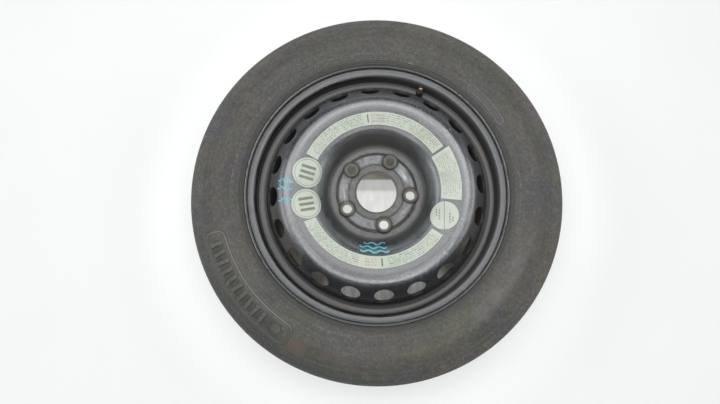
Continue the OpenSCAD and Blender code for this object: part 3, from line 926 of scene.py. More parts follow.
        # seats of the bolts
        a5 = g.f("SUBTRACT", g.f("MODULO", g.f("ADD", g.ang(), 720.0 - 66.4 + 36.0), 72.0), 36.0)
        a5 = g.f("MULTIPLY", a5, math.pi / 180)
        bx = g.f("SUBTRACT", g.f("MULTIPLY", g.r, g.f("COSINE", a5)), 56.0)
        by = g.f("MULTIPLY", g.r, g.f("SINE", a5))
        bd = g.f("SQRT", g.f("ADD", g.f("MULTIPLY", bx, bx), g.f("MULTIPLY", by, by)))
        # painted shade in the groove round each bolt seat
        dark = g.window(bd, 11.0, 15.2, 1.0)
        c = g.mix(g.f("MULTIPLY", dark, 0.85), c, (0.012, 0.011, 0.010))
        rough = g.lerp(dark, rough, 0.8)
        # painted shade round the outside of each seat's boss
        boss_skirt_shade = g.f("MULTIPLY", g.window(bd, 14.5, 19.0, 2.6), g.step(g.r, 66.0, 62.0))
        c = g.mix(g.f("MULTIPLY", boss_skirt_shade, 0.42), c, (0.018, 0.017, 0.015))
        shade = g.f("MULTIPLY", pads, g.angwin(305.0, 32.0, 18.0))
        c = g.mix(g.f("MULTIPLY", shade, 0.34), c, (0.022, 0.022, 0.021))
        lit = g.window(g.r, 32.6, 34.6, 0.7)
        c = g.mix(g.f("MULTIPLY", lit, 0.55), c, (0.26, 0.26, 0.24))
        # painted highlight on each seat cone, pale brownish grey
        seat_highlight = g.f("MULTIPLY", g.step(bd, 10.9, 10.2), g.step(bd, 6.0, 7.0))
        c = g.mix(g.f("MULTIPLY", seat_highlight, g.lerp(g.step(g.noise(300.0, 3, 0.6), 0.35, 0.65), 0.55, 0.95)), c, (0.205, 0.195, 0.155))
        rough = g.lerp(seat_highlight, rough, 0.5)
        # painted highlights: bright streaks on the pads
        for sa, sh, s0, s1_, sk in ((31.0, 10.0, 50.5, 55.5, 0.70), (38.0, 6.0, 47.5, 49.5, 0.5), (208.0, 12.0, 49.0, 55.0, 0.32),
                                    (183.0, 14.0, 52.0, 58.0, 0.34), (322.0, 6.0, 54.0, 56.5, 0.45)):
            pad_highlight = g.f("MULTIPLY", g.angwin(sa, sh, sh * 0.7), g.window(g.r, s0, s1_, 1.6))
            pad_highlight = g.f("MULTIPLY", pad_highlight, g.step(g.noise(1.0, 3, 0.6, g.polar(0.9, 0.05, 0.0), distort=0.3), 0.34, 0.60))
            c = g.mix(g.f("MULTIPLY", pad_highlight, sk), c, (0.52, 0.55, 0.58))
        # the wall's sheen at the left and the right; dark just inside the long labels
        sheen = g.f("MULTIPLY", g.window(g.r, 88.0, 106.0, 6.0), g.f("MAXIMUM", g.angwin(163.0, 19.0, 14.0), g.f("MULTIPLY", g.angwin(13.0, 22.0, 13.0), 0.75)))
        sheen = g.f("MULTIPLY", sheen, g.lerp(g.step(g.noise(1.0, 4, 0.65, g.polar(0.5, 0.06, 0.0), distort=0.5), 0.36, 0.64), 0.55, 1.0))
        c = g.mix(g.f("MULTIPLY", sheen, 0.66), c, (0.250, 0.275, 0.280))
        inlab = g.f("MULTIPLY", g.window(g.r, 100.5, 109.0, 1.8), g.f("MAXIMUM", g.angwin(92.0, 26.0, 14.0), g.angwin(262.0, 30.0, 14.0)))
        c = g.mix(g.f("MULTIPLY", inlab, 0.62), c, (0.018, 0.020, 0.020))
        # the shoulder's paler band: a painted highlight
        upper = g.angwin(105.0, 58.0, 20.0)
        h1 = g.f("MULTIPLY", g.window(g.r, 139.0, 144.6, 1.8), upper)
        h2 = g.f("MULTIPLY", g.window(g.r, 141.0, 150.0, 2.4), g.f("SUBTRACT", 1.0, upper))
        h2 = g.f("MULTIPLY", h2, g.lerp(g.angwin(254.0, 26.0, 14.0), 1.0, 0.30))
        h3 = g.f("MULTIPLY", g.window(g.r, 147.0, 156.5, 2.4), g.f("MAXIMUM", g.angwin(345.0, 30.0, 16.0), g.angwin(198.0, 17.0, 10.0)))
        hh = g.f("MAXIMUM", h1, g.f("MAXIMUM", h2, h3))
        hh = g.f("MULTIPLY", hh, g.lerp(g.step(g.noise(1.0, 4, 0.7, g.polar(0.30, 0.07, 0.0), distort=0.8), 0.34, 0.66), 0.55, 1.0))
        c = g.mix(g.f("MULTIPLY", hh, 0.42), c, (0.36, 0.375, 0.385))
        # painted shade: the shoulder's outer roll at the top, and the dome's flat at the bottom
        shoulder_roll_shade = g.f("MULTIPLY", g.window(g.r, 150.0, 158.5, 2.0), upper)
        c = g.mix(g.f("MULTIPLY", shoulder_roll_shade, 0.62), c, (0.016, 0.018, 0.020))
        dome_low_shade = g.f("MULTIPLY", g.window(g.r, 127.0, 138.0, 2.5), g.angwin(262.0, 42.0, 20.0))
        c = g.mix(g.f("MULTIPLY", dome_low_shade, 0.26), c, (0.030, 0.034, 0.036))
        # bright painted highlight along the edge of the dome's shoulder, broken up in patches; chips along the shoulder
        edge = g.window(g.r, 145.5, 150.5, 1.5)
        noise_patches = g.lerp(g.step(g.noise(1.0, 4, 0.65, g.polar(0.3, 0.30, 0.0)), 0.42, 0.60), 0.25, 1.0)
        side = g.f("MAXIMUM", g.angwin(270.0, 70.0, 20.0), g.f("MULTIPLY", g.angwin(190.0, 25.0, 20.0), 0.8))
        side = g.f("MAXIMUM", side, g.angwin(5.0, 25.0, 20.0))
        c = g.mix(g.f("MULTIPLY", g.f("MULTIPLY", edge, noise_patches), g.f("MULTIPLY", side, 0.50)), c, (0.30, 0.30, 0.315))
        chip = g.f("MULTIPLY", g.step(g.noise(190.0, 3, 0.6), 0.62, 0.68), g.window(g.r, 138, 156, 3))
        chipm = g.f("MAXIMUM", g.angwin(322.0, 7.0, 4.0), g.angwin(37.0, 7.0, 4.0))
        chipm = g.f("MAXIMUM", chipm, g.f("MULTIPLY", g.step(g.noise(9.0, 2, 0.5), 0.56, 0.64), 0.35))
        c = g.mix(g.f("MULTIPLY", chip, chipm), c, (0.50, 0.50, 0.51))
        # skirt below the vents: painted light on its upper side, painted shade at the bottom
        belt = g.window(g.r, 156.5, 176.5, 2.5)
        skirt_upper_light = g.f("MULTIPLY", belt, g.angwin(105.0, 105.0, 30.0))
        skirt_upper_light = g.f("MULTIPLY", skirt_upper_light, g.lerp(g.step(g.noise(1.0, 4, 0.65, g.polar(0.10, 0.10, 0.1)), 0.38, 0.62), 0.45, 1.0))
        c = g.mix(g.f("MULTIPLY", skirt_upper_light, 0.55), c, (0.110, 0.115, 0.120))
        # painted shade at the bottom of the skirt
        clean = g.f("MULTIPLY", belt, g.angwin(278.0, 52.0, 16.0))
        c = g.mix(g.f("MULTIPLY", clean, 0.7), c, (0.011, 0.012, 0.014))
        soil = g.f("MULTIPLY", g.window(g.r, 157.0, 176.5, 2.5), g.f("MAXIMUM", g.angwin(200.0, 20.0, 12.0), g.f("MULTIPLY", g.angwin(334.0, 12.0, 10.0), 0.7)))
        soil = g.f("MULTIPLY", soil, g.lerp(g.step(g.noise(46.0, 4, 0.7, g.shifted(8, 2, 5)), 0.36, 0.62), 0.45, 1.0))
        c = g.mix(g.f("MULTIPLY", soil, 0.60), c, (0.105, 0.098, 0.082))
        # painted shade deep down towards the well
        deep_shade = g.step(g.zm, 13.0, 5.0)
        deep_shade = g.f("MULTIPLY", deep_shade, g.step(g.r, 150.0, 160.0))
        c = g.mix(deep_shade, c, (0.006, 0.006, 0.006))
        rough = g.lerp(deep_shade, rough, 0.9)
    if part == "rim":
        ring = g.window(g.r, 180, 199, 1.5)
        c = g.mix(g.f("MULTIPLY", ring, 0.85), c, (0.024, 0.022, 0.019))
        lowa = g.angwin(318.0, 62.0, 22.0)
        r2 = g.f("SUBTRACT", g.r, g.f("MULTIPLY", lowa, 2.0))
        brown = g.f("MULTIPLY", ring, g.step(g.noise(15.0, 4, 0.6, g.shifted(2, 2, 0)), 0.38, 0.62))
        brown = g.f("MULTIPLY", brown, g.step(r2, 188.4, 191.4))
        c = g.mix(g.f("MULTIPLY", brown, 0.60), c, (0.050, 0.041, 0.030))
        # painted highlight on the hump's crest, strongest at the lower right
        crest_highlight = g.f("MULTIPLY", g.window(g.r, 192.3, 196.0, 1.1), g.lerp(lowa, 0.20, 0.62))
        c = g.mix(crest_highlight, c, (0.085, 0.084, 0.078))
        # painted shade in the well inside the hump
        well_shade = g.step(r2, 191.4, 187.8)
        c = g.mix(g.f("MULTIPLY", well_shade, 0.92), c, (0.007, 0.007, 0.007))
        rough = g.lerp(ring, rough, 0.55)
        rough = g.lerp(g.f("MULTIPLY", well_shade, g.step(g.r, 178, 182)), rough, 0.95)
        # painted shade in the groove between the hump and the flange
        r3 = g.f("SUBTRACT", g.r, g.f("MULTIPLY", g.angwin(12.0, 66.0, 25.0), 1.2))
        corner_shade = g.f("MULTIPLY", g.window(r3, 197.0, 204.2, 0.9), 0.93)
        rough = g.lerp(g.f("MULTIPLY", corner_shade, g.angwin(12.0, 75.0, 25.0)), rough, 0.92)
        c = g.mix(corner_shade, c, (0.010, 0.010, 0.011))
        # flange: painted satin sheen, slightly bluish, scuffed; painted shade on the lip's inner wall; its edge bare
        flange_sheen_and_scuffs = g.window(g.r, 204.5, 213.0, 0.8)
        sc2 = g.step(g.noise(1.0, 4, 0.7, g.polar(0.9, 0.12, 0.0)), 0.38, 0.66)
        c = g.mix(g.f("MULTIPLY", flange_sheen_and_scuffs, g.lerp(sc2, 0.25, 0.62)), c, (0.062, 0.068, 0.070))
        rough = g.lerp(flange_sheen_and_scuffs, rough, 0.50)
        lip_shade = g.window(g.r, 214.4, 216.8, 0.5)
        c = g.mix(g.f("MULTIPLY", lip_shade, 0.72), c, (0.012, 0.012, 0.012))
        rough = g.lerp(lip_shade, rough, 0.8)
        bare = g.f("MULTIPLY", g.step(g.r, 216.35, 216.75), g.step(g.zm, 16.0, 17.0))
        bm = g.f("MAXIMUM", g.angwin(10.0, 55.0, 20.0), g.angwin(165.0, 50.0, 20.0))
        bm = g.lerp(bm, 0.10, 0.9)
        bm = g.f("MULTIPLY", bm, g.step(g.noise(1.0, 3, 0.6, g.polar(0.2, 0.35, 0.0)), 0.36, 0.50))
        c = g.mix(g.f("MULTIPLY", bare, g.f("MULTIPLY", bm, 0.9)), c, (0.36, 0.35, 0.32))
    rs = g.f("MULTIPLY", g.step(g.noise(140.0, 3, 0.7), 0.66, 0.74), g.step(g.noise(13.0, 3, 0.6, g.shifted(9, 3, 0)), 0.52, 0.66))
    c = g.mix(g.f("MULTIPLY", rs, 0.7), c, (0.14, 0.070, 0.034))
    back = g.step(up, -0.2, -0.6)
    c = g.mix(g.f("MULTIPLY", back, g.f("MULTIPLY", g.step(g.noise(18.0, 4, 0.65, g.shifted(3, 7, 2)), 0.45, 0.62), 0.5)), c, (0.085, 0.060, 0.042))
    wav = g.noise(24.0, 2, 0.5)
    h = g.f("ADD", g.f("MULTIPLY", g.noise(420.0, 2, 0.5), 0.10), g.f("ADD", g.f("MULTIPLY", wav, 0.5), g.f("MULTIPLY", scr, -0.25)))
    n = g.bump(h, 0.30, 0.0006)
    return g.finish(c, rough, 0.0, n, IOR=1.58, Specular_IOR_Level=0.72, Coat_Weight=0.30, Coat_Roughness=0.14)


DISC_MAT = paint_material("worn_black_paint_disc", "disc")
RIM_MAT = paint_material("worn_black_paint_rim", "rim")
set_material(NODES["wheel_disc"], DISC_MAT)
set_material(NODES["rim"], RIM_MAT)
soften(NODES["wheel_disc"], deg=26)
soften(NODES["rim"], deg=26)


# ------------------------------------------------------------------ welds
def build_welds():
    rnd = random.Random(3)
    V, F = [], []
    wr = 181.0
    for i in range(6):
        a0, a1 = 14 + 60 * i, 44 + 60 * i
        n = 90
        base = len(V)
        m = 9
        for k in range(n + 1):
            t = k / n
            a = math.radians(a0 + (a1 - a0) * t)
            end = min(1.0, min(t, 1 - t) * 18 + 0.45)
            ripple = 1 + 0.07 * math.cos(2 * math.pi * (a1 - a0) * t * 1.35) + rnd.uniform(-0.02, 0.02)
            for j in range(m):
                u = j / (m - 1)
                ph = math.radians(180 + 90 * u)
                sz = 3.5 * end * ripple
                # convex bead in the corner between the skirt's edge and the well
                r = wr - 0.05 - sz * (1 - u) * 0.98 - 0.45 * math.sin(math.pi * u) * end
                z = -12.05 - sz * 1.12 * u - 0.45 * math.sin(math.pi * u) * end
                V.append((r * math.cos(a) * MM, r * math.sin(a) * MM, (z - ET) * MM))
            V.append((wr * math.cos(a) * MM, wr * math.sin(a) * MM, (-12.0 - ET) * MM))
        m1 = m + 1
        for k in range(n):
            for j in range(m1):
                j2 = (j + 1) % m1
                F.append((base + k * m1 + j, base + k * m1 + j2, base + (k + 1) * m1 + j2, base + (k + 1) * m1 + j))
        F.append(tuple(base + j for j in range(m1))[::-1])
        F.append(tuple(base + n * m1 + j for j in range(m1)))
    ob = make_object("weld_beads", V, F)
    edge_split(ob, 50)
    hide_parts("disc_welds")
    return ob


welds = build_welds()


def weld_material():
    g = Mat("painted_weld")
    g.co()
    c = g.mix(g.step(g.noise(120.0, 4, 0.6), 0.4, 0.65), (0.035, 0.034, 0.033), (0.075, 0.062, 0.050))
    rs = g.step(g.noise(60.0, 4, 0.7, g.shifted(2, 0, 1)), 0.58, 0.68)
    c = g.mix(g.f("MULTIPLY", rs, 0.7), c, (0.15, 0.07, 0.035))
    h = g.noise(500.0, 3, 0.6)
    return g.finish(c, g.lerp(rs, 0.42, 0.75), 0.0, g.bump(h, 0.5, 0.0004), IOR=1.5)


set_material(welds, weld_material())


# ------------------------------------------------------------------ valve
VALVE_A, VALVE_R, VALVE_Z = 67.2, 193.0, -10.0


def at_valve(r, a, z):
    cx = VALVE_R * math.cos(math.radians(VALVE_A))
    cy = VALVE_R * math.sin(math.radians(VALVE_A))
    t = a + math.radians(VALVE_A)
    return ((cx + r * math.cos(t)) * MM, (cy + r * math.sin(t)) * MM, (VALVE_Z + z) * MM)


def build_stem():
    """The stem with its real thread: 0.79 mm pitch, on the part outside the rubber."""
    prof_low = [(1.5, -9.4), (3.3, -9.4), (3.6, -9.1), (3.6, -8.65), (2.9, -8.65), (2.9, -0.45), (3.3, -0.05), (3.3, 0.95),
                (2.9, 0.95), (2.9, 4.55), (3.3, 4.95), (3.3, 5.95), (2.9, 5.95), (2.9, 14.0)]
    prof_top = [(3.45, 26.85), (3.0, 27.0), (2.8, 26.95), (2.65, 26.6), (2.65, 17.5), (2.3, 17.3), (2.3, 11.2), (1.5, 10.0)]
    n = 48
    V, F = [], []
    pitch, depth = 0.79, 0.42
    rows = []

    def row(fn):
        base = len(V)
        for k in range(n):
            a = 2 * math.pi * k / n
            r, z = fn(a)
            V.append(at_valve(r, a, z))
        rows.append([base + k for k in range(n)])

    for r, z in prof_low:
        row(lambda a, r=r, z=z: (r, z))
    z0, z1 = 14.05, 26.5
    steps = int((z1 - z0) / (pitch / 6))
    for i in range(steps + 1):
        z = z0 + (z1 - z0) * i / steps

        def f(a, z=z, i=i):
            ph = (z / pitch - a / (2 * math.pi)) % 1.0
            tri = 1 - abs(2 * ph - 1)             # 0 valley .. 1 crest
            fade = min(1.0, (z - z0) / 0.7, (z1 - z) / 0.6 + 0.15)
            return 3.85 - depth * (1 - min(1, tri * 1.25)) * fade - (0.25 if i in (0,) else 0), z
        row(f)
    for r, z in prof_top:
        row(lambda a, r=r, z=z: (r, z))
    for i in range(len(rows)):
        A, B = rows[i], rows[(i + 1) % len(rows)]
        for k in range(n):
            j = (k + 1) % n
            F.append((A[k], A[j], B[j], B[k]))
    ob = make_object("valve_stem_threaded", V, F)
    edge_split(ob, 50)
    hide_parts("valve_stem")
    return ob


stem = build_stem()


def brass_material(name, a, b, rough0, rough1):
    g = Mat(name)
    g.co()
    c = g.mix(g.step(g.noise(260.0, 4, 0.65), 0.38, 0.66), a, b)
    c = g.mix(g.f("MULTIPLY", g.step(g.noise(520.0, 3, 0.6, g.shifted(1, 1, 1)), 0.56, 0.70), 0.6), c, (0.10, 0.055, 0.030))
    h = g.noise(1500.0, 3, 0.6)
    return g.finish(c, g.lerp(g.step(g.noise(300.0, 3), 0.4, 0.7), rough0, rough1), 1.0, g.bump(h, 0.25, 0.0002))


STEM_MAT = brass_material("tarnished_copper_brass", (0.200, 0.138, 0.100), (0.075, 0.053, 0.040), 0.62, 0.82)
CORE_MAT = brass_material("brass_core", (0.30, 0.24, 0.13), (0.17, 0.13, 0.075), 0.42, 0.60)
set_material(stem, STEM_MAT)
for nm in ("valve_core_body", "valve_core_cup"):
    set_material(NODES[nm], CORE_MAT)


def rubber_material(name, a, b):
    g = Mat(name)
    g.co()
    c = g.mix(g.step(g.noise(180.0, 4, 0.65), 0.42, 0.70), a, b)
    c = g.mix(g.f("MULTIPLY", g.step(g.noise(420.0, 3, 0.6, g.shifted(2, 1, 1)), 0.56, 0.72), 0.5), c, tint(b, 1.8))
    h = g.noise(1200.0, 3, 0.6)
    return g.finish(c, g.lerp(g.step(g.noise(200.0, 3), 0.4, 0.7), 0.55, 0.78), 0.0, g.bump(h, 0.35, 0.0003), IOR=1.5)


set_material(NODES["valve_rubber_body"], rubber_material("valve_black_rubber", (0.022, 0.021, 0.020), (0.060, 0.050, 0.042)))
set_material(NODES["valve_core_seal"], rubber_material("seal_rubber", (0.020, 0.020, 0.020), (0.035, 0.034, 0.033)))
set_material(NODES["valve_core_gasket"], rubber_material("red_gasket", (0.42, 0.055, 0.035), (0.30, 0.045, 0.030)))


def steel_material():
    g = Mat("pin_and_spring_steel")
    g.co()
    c = g.mix(g.step(g.noise(700.0, 3, 0.6), 0.4, 0.7), (0.60, 0.60, 0.61), (0.40, 0.39, 0.38))
    h = g.noise(1.0, 2, 0.5, g.vec(g.f("MULTIPLY", g.x, 300.0), g.f("MULTIPLY", g.y, 300.0), g.f("MULTIPLY", g.z, 6000.0)))
    return g.finish(c, g.lerp(g.step(g.noise(400.0, 3), 0.4, 0.7), 0.22, 0.42), 1.0, g.bump(h, 0.2, 0.0001))


STEEL = steel_material()
for nm in ("valve_core_pin", "valve_core_spring"):
    set_material(NODES[nm], STEEL)
for nm in ("valve_rubber_body", "valve_core_body", "valve_core_cup", "valve_core_pin", "valve_core_seal", "valve_core_gasket"):
    soften(NODES[nm], weld=0.0000005, deg=32)


# ------------------------------------------------------------------ labels
def label_material(name, kind, at=None):
    """Pale green film with a generic print of short bars and lines."""
    g = Mat(name)
    g.co()
    paper = lin(184, 190, 178)
    c = g.mix(g.step(g.noise(22.0, 4, 0.6), 0.35, 0.70), paper, lin(173, 184, 171))
    c = g.mix(g.f("MULTIPLY", g.step(g.noise(9.0, 3, 0.6, g.shifted(3, 3, 1)), 0.45, 0.7), 0.6), c, lin(188, 192, 184))
    ink = lin(84, 96, 78)
    dark = lin(60, 70, 58)

    def rows(r0, dr, n, word, seed, fill=0.60):
        """Rows of short dashes along the arc: row number and place give each dash."""
        t = g.f("DIVIDE", g.f("SUBTRACT", g.r, r0), dr)
        row = g.f("FLOOR", t)
        frac = g.f("SUBTRACT", t, row)
        inrow = g.window(frac, 0.20, 0.66, 0.10)
        lim = g.f("MULTIPLY", g.step(t, -0.05, 0.05), g.step(t, n - 0.05, n + 0.05, 1.0, 0.0))
        v = g.vec(g.f("MULTIPLY", g.ang(), word), g.f("MULTIPLY", row, 7.31), seed)
        w = g.nt.nodes.new("ShaderNodeTexWhiteNoise")
        w.noise_dimensions = "3D"
        cell = g.vec(g.f("FLOOR", g.f("MULTIPLY", g.ang(), word)), row, seed)
        g.put(w.inputs["Vector"], cell)
        on = g.step(w.outputs["Value"], 1 - fill - 0.02, 1 - fill + 0.02)
        fine = g.nt.nodes.new("ShaderNodeTexWhiteNoise")
        fine.noise_dimensions = "3D"
        g.put(fine.inputs["Vector"], g.vec(g.f("FLOOR", g.f("MULTIPLY", g.ang(), word * 3.0)), row, seed + 5.0))
        on2 = g.step(fine.outputs["Value"], 0.20, 0.30)
        return g.f("MULTIPLY", g.f("MULTIPLY", inrow, lim), g.f("MULTIPLY", on, on2))

    if kind == "long_up":
        pr = g.f("MULTIPLY", rows(110.4, 3.35, 5, 1.9, 1.0), g.f("MAXIMUM", g.angwin(62.0, 26.0, 0.4), g.angwin(125.5, 24.0, 0.4)))
        c = g.mix(g.f("MULTIPLY", pr, 0.80), c, ink)
        # lighter field with an outline, and a dark tick
        box = g.f("MULTIPLY", g.angwin(89.2, 6.3, 0.2), g.window(g.r, 110.0, 126.6, 0.5))
        c = g.mix(g.f("MULTIPLY", box, 0.75), c, lin(172, 176, 168))
        bars = g.f("MULTIPLY", g.f("MULTIPLY", rows(111.6, 4.6, 3, 0.9, 8.0, 0.75), g.angwin(89.2, 5.4, 0.2)), 0.55)
        c = g.mix(bars, c, lin(110, 116, 108))
        tick = g.f("MULTIPLY", g.angwin(97.3, 0.55, 0.12), g.window(g.r, 112.0, 125.0, 0.5))
        c = g.mix(g.f("MULTIPLY", tick, 0.85), c, dark)
    if kind == "long_low":
        pr = g.f("MULTIPLY", rows(110.4, 3.35, 5, 1.9, 3.0), g.f("MAXIMUM", g.angwin(232.5, 23.5, 0.4), g.angwin(300.0, 21.5, 0.4)))
        c = g.mix(g.f("MULTIPLY", pr, 0.80), c, ink)
        box = g.f("MULTIPLY", g.angwin(265.2, 5.4, 0.2), g.window(g.r, 110.0, 126.6, 0.5))
        c = g.mix(g.f("MULTIPLY", box, 0.75), c, lin(184, 184, 168))
        bars = g.f("MULTIPLY", g.f("MULTIPLY", rows(111.6, 4.6, 3, 0.9, 9.0, 0.75), g.angwin(265.2, 4.6, 0.2)), 0.55)
        c = g.mix(bars, c, lin(110, 116, 108))
        tick = g.f("MULTIPLY", g.angwin(273.9, 0.55, 0.12), g.window(g.r, 112.0, 125.0, 0.5))
        c = g.mix(g.f("MULTIPLY", tick, 0.85), c, dark)
    if kind == "wide":
        pr = g.f("MULTIPLY", rows(107.0, 3.4, 8, 1.7, 5.0, 0.55), g.angwin(11.6, 17.2, 0.4))
        c = g.mix(g.f("MULTIPLY", pr, 0.55), c, ink)
    if kind in ("round_bar", "round_split"):
        ca, sa = math.cos(math.radians(at[0])), math.sin(math.radians(at[0]))
        # place on the label, mm: u outward from the wheel's axis, v round it
        X = g.f("MULTIPLY", g.x, 1000.0)
        Y = g.f("MULTIPLY", g.y, 1000.0)
        u = g.f("SUBTRACT", g.f("ADD", g.f("MULTIPLY", X, ca), g.f("MULTIPLY", Y, sa)), at[1])
        v = g.f("SUBTRACT", g.f("MULTIPLY", Y, ca), g.f("MULTIPLY", X, sa))
        if kind == "round_bar":
            ring = g.f("SQRT", g.f("ADD", g.f("MULTIPLY", g.f("MULTIPLY", u, 1.08), g.f("MULTIPLY", u, 1.08)), g.f("MULTIPLY", v, v)))
            rr = g.window(ring, 21.0, 22.2, 0.3)
            c = g.mix(g.f("MULTIPLY", rr, 0.55), c, dark)
            m = None
            for k, (half_u, half_v) in enumerate(((11.5, 2.3), (11.5, 2.3), (11.5, 2.3))):
                vv = (-9.0, 0.0, 9.0)[k]
                bar = g.f("MULTIPLY", g.window(u, -half_u, half_u, 0.35), g.window(v, vv - half_v, vv + half_v, 0.35))
                m = bar if m is None else g.f("MAXIMUM", m, bar)
            m = g.f("MULTIPLY", m, g.step(g.noise(160.0, 3, 0.6), 0.30, 0.42))
            c = g.mix(g.f("MULTIPLY", m, 0.80), c, lin(82, 88, 66))
        else:
            du = g.f("ADD", g.f("MULTIPLY", u, math.cos(math.radians(20))), g.f("MULTIPLY", v, math.sin(math.radians(20))))
            line = g.window(du, -0.5, 0.5, 0.2)
            c = g.mix(g.f("MULTIPLY", line, 0.7), c, dark)
            m = None
            for uu, v0, v1 in ((8.5, -8.5, 8.5), (13.0, -5.0, 4.0), (-7.5, -9.0, 9.0), (-12.0, -4.0, 6.0)):
                bar = g.f("MULTIPLY", g.window(du, uu - 1.1, uu + 1.1, 0.3), g.window(v, v0, v1, 0.4))
                m = bar if m is None else g.f("MAXIMUM", m, bar)
            seg = g.step(g.f("SINE", g.f("MULTIPLY", v, 1.5)), -0.45, -0.25)
            c = g.mix(g.f("MULTIPLY", g.f("MULTIPLY", m, seg), 0.75), c, dark)
    # scuffs, dirt and lifted spots
    noise_patches = g.step(g.noise(120.0, 4, 0.7), 0.60, 0.70)
    c = g.mix(g.f("MULTIPLY", noise_patches, 0.40), c, lin(128, 138, 120))
    dirt = g.step(g.noise(16.0, 4, 0.65, g.shifted(8, 2, 2)), 0.52, 0.76)
    c = g.mix(g.f("MULTIPLY", dirt, 0.40), c, lin(146, 148, 126))
    sc = g.step(g.noise(1.0, 2, 0.5, g.polar(1.9, 0.12, 0.0), distort=0.7), 0.69, 0.74)
    c = g.mix(g.f("MULTIPLY", sc, 0.35), c, lin(120, 128, 116))
    h = g.f("ADD", g.noise(300.0, 3, 0.6), g.f("MULTIPLY", g.noise(60.0, 3, 0.6), 1.5))
    return g.finish(c, g.lerp(dirt, 0.38, 0.60), 0.0, g.bump(h, 0.25, 0.0003), IOR=1.46)


set_material(NODES["long_label_upper"], label_material("label_film_upper", "long_up"))
set_material(NODES["long_label_lower"], label_material("label_film_lower", "long_low"))
set_material(NODES["wide_label"], label_material("label_film_wide", "wide"))
set_material(NODES["round_label_a"], label_material("label_film_round_a", "round_bar", (166.7, 115.6)))
set_material(NODES["round_label_b"], label_material("label_film_round_b", "round_bar", (192.5, 115.6)))
set_material(NODES["round_label_c"], label_material("label_film_round_c", "round_split", (338.2, 115.6)))
for nm in ("long_label_upper", "long_label_lower", "wide_label", "round_label_a", "round_label_b", "round_label_c"):
    soften(NODES[nm], weld=0.0000005, deg=30)


# ------------------------------------------------------------------ paint-marker strokes on the disc
def build_marker():
    """Hand-drawn marker strokes: ribbons that follow the disc's surface."""
    V, F = [], []

    def stroke(pts, w=2.4):
        # pts: (r, angle deg) control points; Catmull-Rom through them
        P = np.array([[r * math.cos(math.radians(a)), r * math.sin(math.radians(a))] for r, a in pts])
        Q = []
        ext = np.vstack([2 * P[0] - P[1], P, 2 * P[-1] - P[-2]])
        for i in range(1, len(ext) - 2):
            for k in range(8):
                t = k / 8
                p0, p1, p2, p3 = ext[i - 1], ext[i], ext[i + 1], ext[i + 2]
                Q.append(0.5 * ((2 * p1) + (-p0 + p2) * t + (2 * p0 - 5 * p1 + 4 * p2 - p3) * t * t + (-p0 + 3 * p1 - 3 * p2 + p3) * t ** 3))
        Q.append(P[-1])
        Q = np.array(Q)
        base = len(V)
        n = len(Q)
        for i in range(n):
            d = unit(Q[min(i + 1, n - 1)] - Q[max(i - 1, 0)])
            s = np.array([-d[1], d[0]])
            e = min(1.0, 0.55 + 0.45 * math.sin(math.pi * min(1, max(0, i / (n - 1)))) ** 0.4)
            ww = w / 2 * e * (1 + 0.12 * math.sin(i * 1.7))
            for k, u in enumerate((-1, -0.6, 0, 0.6, 1)):
                q = Q[i] + s * ww * u
                r = float(np.hypot(*q))
                z = disc_z(r) + (0.16 if abs(u) < 1 else 0.02)
                V.append((q[0] * MM, q[1] * MM, z * MM))
        for i in range(n - 1):
            for k in range(4):
                F.append((base + 5 * i + k, base + 5 * (i + 1) + k, base + 5 * (i + 1) + k + 1, base + 5 * i + k + 1))

    # plain wavy lines only
    def wave(r0, r1, a0, a1, r_amp, a_amp, turns, w):
        pts = []
        n = int(turns * 8)
        for i in range(n + 1):
            t = i / n
            sw = math.sin(2 * math.pi * turns * t)
            pts.append((r0 + (r1 - r0) * t + r_amp * sw, a0 + (a1 - a0) * t + a_amp * sw))
        stroke(pts, w)
    # left, on the dome's shoulder: three lines along the radius
    wave(160.0, 135.0, 175.0, 175.6, 0.0, 0.75, 2.5, 2.6)
    wave(160.5, 137.0, 179.6, 180.4, 0.0, 0.75, 2.5, 2.6)
    wave(159.0, 134.5, 187.0, 187.6, 0.0, 0.75, 2.5, 2.6)
    # on the lower hub wall: three lines along the wall, clear of one another
    wave(101.0, 101.0, 254.5, 281.5, 1.7, 0.0, 2.5, 2.7)
    wave(93.8, 93.8, 253.0, 280.0, 1.7, 0.0, 2.5, 2.7)
    wave(86.6, 86.6, 256.0, 279.0, 1.7, 0.0, 2.0, 2.7)
    ob = make_object("marker_strokes", V, F)
    return ob


marker = build_marker()


def marker_material():
    g = Mat("cyan_paint_marker")
    g.co()
    c = g.mix(g.step(g.noise(160.0, 4, 0.65), 0.36, 0.66), lin(98, 190, 206), lin(72, 158, 178))
    c = g.mix(g.f("MULTIPLY", g.step(g.noise(420.0, 3, 0.6, g.shifted(1, 2, 3)), 0.60, 0.72), 0.5), c, lin(70, 110, 122))
    h = g.noise(700.0, 3, 0.6)
    return g.finish(c, g.lerp(g.step(g.noise(200.0, 2), 0.4, 0.6), 0.40, 0.58), 0.0, g.bump(h, 0.3, 0.0002), IOR=1.48)


set_material(marker, marker_material())


